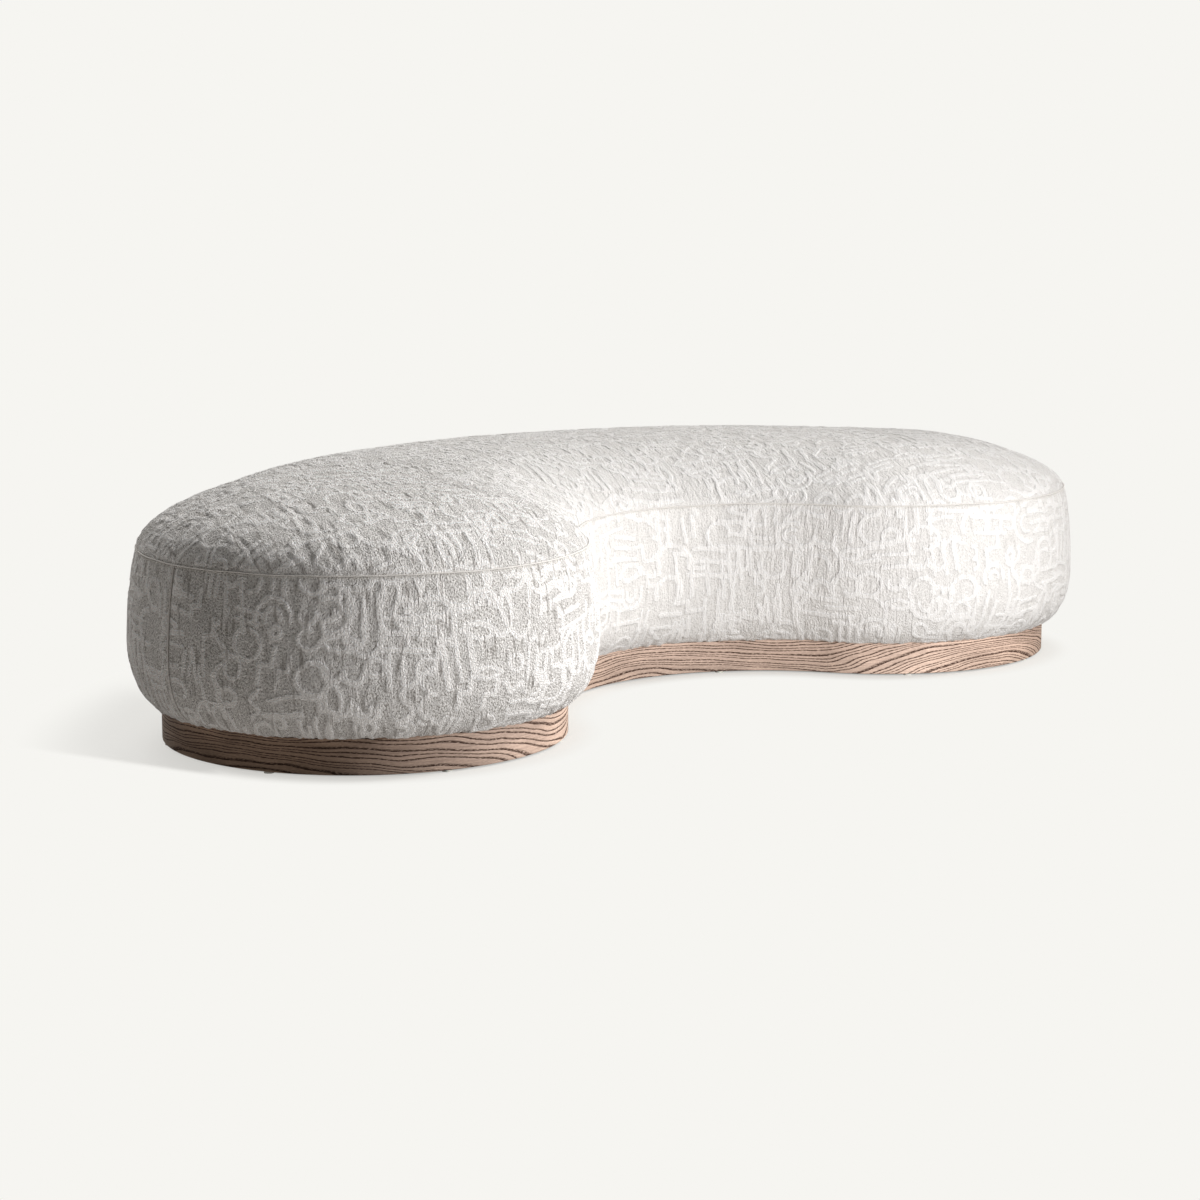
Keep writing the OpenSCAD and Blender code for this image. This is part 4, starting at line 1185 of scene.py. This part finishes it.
# Soft boxes: place in metres, width and height, power and colour. The cloth and the plinth have their own,
# so that each has its own balance, as with flagged lamps in a studio.
COOL_WHITE = (0.985, 0.995, 1.02)
CLOTH_BOXES = (
    ("Soft box, near", (0.05, -1.6, 0.95), (0.35, 0.5), 9.0, COOL_WHITE),
    ("Soft box, far", (-0.15, -2.3, 0.75), (0.5, 0.8), 12.5, COOL_WHITE),
    ("Soft box, low", (0.2, -1.8, 0.3), (0.3, 0.4), 11.2, COOL_WHITE),
)
PLINTH_BOXES = (
    ("Strip, right", (0.5, -1.5, 0.2), (0.6, 0.3), 18.5, (0.95, 0.98, 1.04)),
    ("Strip, middle", (0.0, -1.3, 0.2), (0.5, 0.3), 17.5, (0.9, 1.0, 1.14)),
    ("Strip, behind", (1.2, 2.2, 0.3), (0.8, 0.4), 22.0, (0.98, 0.98, 0.98)),
)
BOX_AIM = Vector((0.0, -0.15, 0.25))
# Wide lamps far off: direction from +X and height in degrees, light on what faces them, and how wide they
# look
FAR_LAMPS = (
    ("Right", 330, 40, 0.59, 14),
    ("Far right", 0, 30, 0.1, 30),
    ("Behind", 90, 45, 0.36, 40),
    ("Behind, right", 60, 40, 0.27, 30),
)
AMBIENT = 0.01
# Light that the floor throws back, and how fast the shadow takes it away
BOUNCE, BOUNCE_LOSS = 0.55, 1.4
# How much light the floor loses beside the left end, where the plinth stands, and under the sofa
SIDE_SHADE, CONTACT_SHADE, UNDER_SHADE = 0.43, 0.42, 0.95
# A point on the straight edge of the shade beside the left end, in millimetres, and the way into the light
SHADE_EDGE, SHADE_WAY = (-1000, -165), (-0.956, -0.292)


def shine_on(lamp, pieces, state):
    """Lets the lamp light only these pieces, or spare them."""
    linked = bpy.data.collections.new(lamp.name + " pieces")
    for piece in pieces:
        linked.objects.link(piece)
    for place in linked.collection_objects:
        place.light_linking.link_state = state
    lamp.light_linking.receiver_collection = linked


def hung_lamp(name, kind, place, back, **values):
    """A lamp at a place in metres, with its back turned that way."""
    data = bpy.data.lights.new(name, kind)
    for setting, value in values.items():
        setattr(data, setting, value)
    lamp = placed(name, data)
    lamp.location = place
    lamp.rotation_euler = back.to_track_quat("Z", "Y").to_euler()
    return lamp


def soft_box(name, place, size, power, tint):
    """A soft box that faces the sofa."""
    looks = {"shape": "RECTANGLE", "size": size[0], "size_y": size[1], "energy": power, "color": tint}
    return hung_lamp(name, "AREA", place, Vector(place) - BOX_AIM, **looks)


def far_lamp(name, side, height, strength, width):
    """A far, wide lamp: its direction from +X, its height, the light on what faces it, and its width."""
    side, height = math.radians(side), math.radians(height)
    back = Vector((math.cos(side), math.sin(side), math.tan(height)))
    looks = {"energy": strength * math.pi, "angle": math.radians(width)}
    return hung_lamp(name, "SUN", back.normalized() * 5, back, **looks)


def floor_shade(x, y):
    """The share of the light that the sofa takes from places on the floor, in millimetres."""
    beyond = -inside_outline(x, y, PLINTH_IN)
    along = SHADE_WAY[0] * (x - SHADE_EDGE[0]) + SHADE_WAY[1] * (y - SHADE_EDGE[1])
    away = -inside_outline(x, y, 0)
    shade = SIDE_SHADE * (1 - smooth_step(along, -14, 16)) * (1 - smooth_step(away, 20, 190))
    shade *= (1 - smooth_step(x, -760, -560)) * smooth_step(y, -300, -190)
    shade = np.maximum(shade, CONTACT_SHADE * (1 - smooth_step(beyond, 0, 62)))
    return np.maximum(shade, UNDER_SHADE * (1 - smooth_step(beyond, -20, 4)))


def emptied(block):
    """Clears the nodes of a new material or world, and gives back what adds nodes to it."""
    block.use_nodes = True
    block.node_tree.nodes.clear()
    return partial(put, block.node_tree)


def seen_directly(add):
    """1 for what the camera, a mirror or glass sees, and 0 for the light that falls on the sofa."""
    path = add("LightPath", []).node.outputs
    seen = add("Math MAXIMUM", [path["Is Camera Ray"], path["Is Glossy Ray"]])
    return add("Math MAXIMUM", [seen, path["Is Transmission Ray"]])


class LOWSOFA_OT_stage(bpy.types.Operator):
    """Sets up the pale floor, the lamps and the camera"""

    bl_idname = "low_sofa.stage"
    bl_label = "Set Stage"

    def execute(self, context):
        scene = context.scene
        stage = scene.low_sofa_stage
        scene.view_settings.view_transform = "Standard"

        # The floor keeps its colour, glows as a lit floor does and takes the sofa's shadow close to the sofa
        on_floor = AMBIENT + sum(lamp[3] * math.sin(math.radians(lamp[2])) for lamp in FAR_LAMPS)
        material = bpy.data.materials.new("Pale studio floor")
        add = emptied(material)
        material.cycles.emission_sampling = "NONE"
        share = add("Attribute", [], out="Fac", attribute_name="shadow_share")
        lit = add("Math MULTIPLY_ADD", [share, -on_floor, 1.0])
        backdrop = (*stage.backdrop, 1.0)
        glow = add("Emission", [backdrop, lit])
        tint = add("VectorMath MULTIPLY", [stage.backdrop, share])
        shown = add("AddShader", [glow, add("BsdfDiffuse", [tint])])
        thrown = add("Math MULTIPLY_ADD", [share, -BOUNCE_LOSS * BOUNCE, BOUNCE], use_clamp=True)
        bounce = add("Emission", [(1.0, 0.96, 0.92, 1.0), thrown])
        add("OutputMaterial", [add("MixShader", [seen_directly(add), bounce, shown])])
        line = np.sort(np.concatenate([np.linspace(-1400, 1400, 351), [-40000, -6000, 6000, 40000]]))
        x, y = (grid.ravel() for grid in np.meshgrid(line, line, indexing="ij"))
        faces = [quads(len(line), len(line))[:, ::-1]]
        points = np.column_stack([x, y, 0 * x])
        floor = mesh_piece("studio_floor", points, faces, material, shadow_share=floor_shade(x, y))

        walls = [bpy.data.objects["plinth_" + arc] for arc in ARCS]
        for box in CLOTH_BOXES:
            shine_on(soft_box(*box), [floor, *walls], "EXCLUDE")
        for box in PLINTH_BOXES:
            shine_on(soft_box(*box), walls, "INCLUDE")
        for lamp in FAR_LAMPS:
            lit = far_lamp(*lamp)
            if lamp[0].startswith("Behind"):
                shine_on(lit, walls, "EXCLUDE")

        scene.world = bpy.data.worlds.new("Studio")
        add = emptied(scene.world)
        soft = add("Background", [(1.0, 0.97, 0.94, 1.0), AMBIENT])
        wall = add("Background", [backdrop, 1.0])
        add("OutputWorld", [add("MixShader", [seen_directly(add), soft, wall])])

        data = bpy.data.cameras.new("Camera")
        data.lens, data.sensor_width = stage.lens, 36
        data.shift_y = 0.00585
        camera = placed("Camera", data)
        camera.location = stage.camera
        camera.rotation_euler = (math.pi / 2 - stage.pitch, 0, stage.heading - math.pi / 2)
        scene.camera = camera
        return {"FINISHED"}


OPERATORS = (
    LOWSOFA_OT_seat,
    LOWSOFA_OT_bands,
    LOWSOFA_OT_seams,
    LOWSOFA_OT_plinth,
    LOWSOFA_OT_underside,
    LOWSOFA_OT_solids,
    LOWSOFA_OT_stage,
)
GROUPS = {"low_sofa_cloth": LowSofaCloth, "low_sofa_plinth": LowSofaPlinth, "low_sofa_stage": LowSofaStage}


class LOWSOFA_PT_panel(bpy.types.Panel):
    """Lists the sofa's pieces and their sizes and colours"""

    bl_idname = "LOWSOFA_PT_panel"
    bl_label = "Low Sofa"
    bl_space_type = "VIEW_3D"
    bl_region_type = "UI"
    bl_category = "Low Sofa"

    def draw(self, context):
        for group in GROUPS:
            box = self.layout.box()
            settings = getattr(context.scene, group)
            for name in settings.bl_rna.properties.keys():
                if name not in {"rna_type", "name"}:
                    box.prop(settings, name)
        for operator in OPERATORS:
            self.layout.operator(operator.bl_idname)


def register():
    for kind in (*GROUPS.values(), *OPERATORS, LOWSOFA_PT_panel):
        bpy.utils.register_class(kind)
    for name, group in GROUPS.items():
        setattr(bpy.types.Scene, name, PointerProperty(type=group))


def unregister():
    for name in GROUPS:
        delattr(bpy.types.Scene, name)
    for kind in (LOWSOFA_PT_panel, *OPERATORS, *GROUPS.values()):
        bpy.utils.unregister_class(kind)


def main():
    """Makes every piece in turn."""
    register()
    bpy.ops.low_sofa.seat()
    bpy.ops.low_sofa.bands()
    bpy.ops.low_sofa.seams()
    bpy.ops.low_sofa.plinth()
    bpy.ops.low_sofa.underside()
    bpy.ops.low_sofa.solids()
    bpy.ops.low_sofa.stage()


if __name__ == "__main__":
    main()
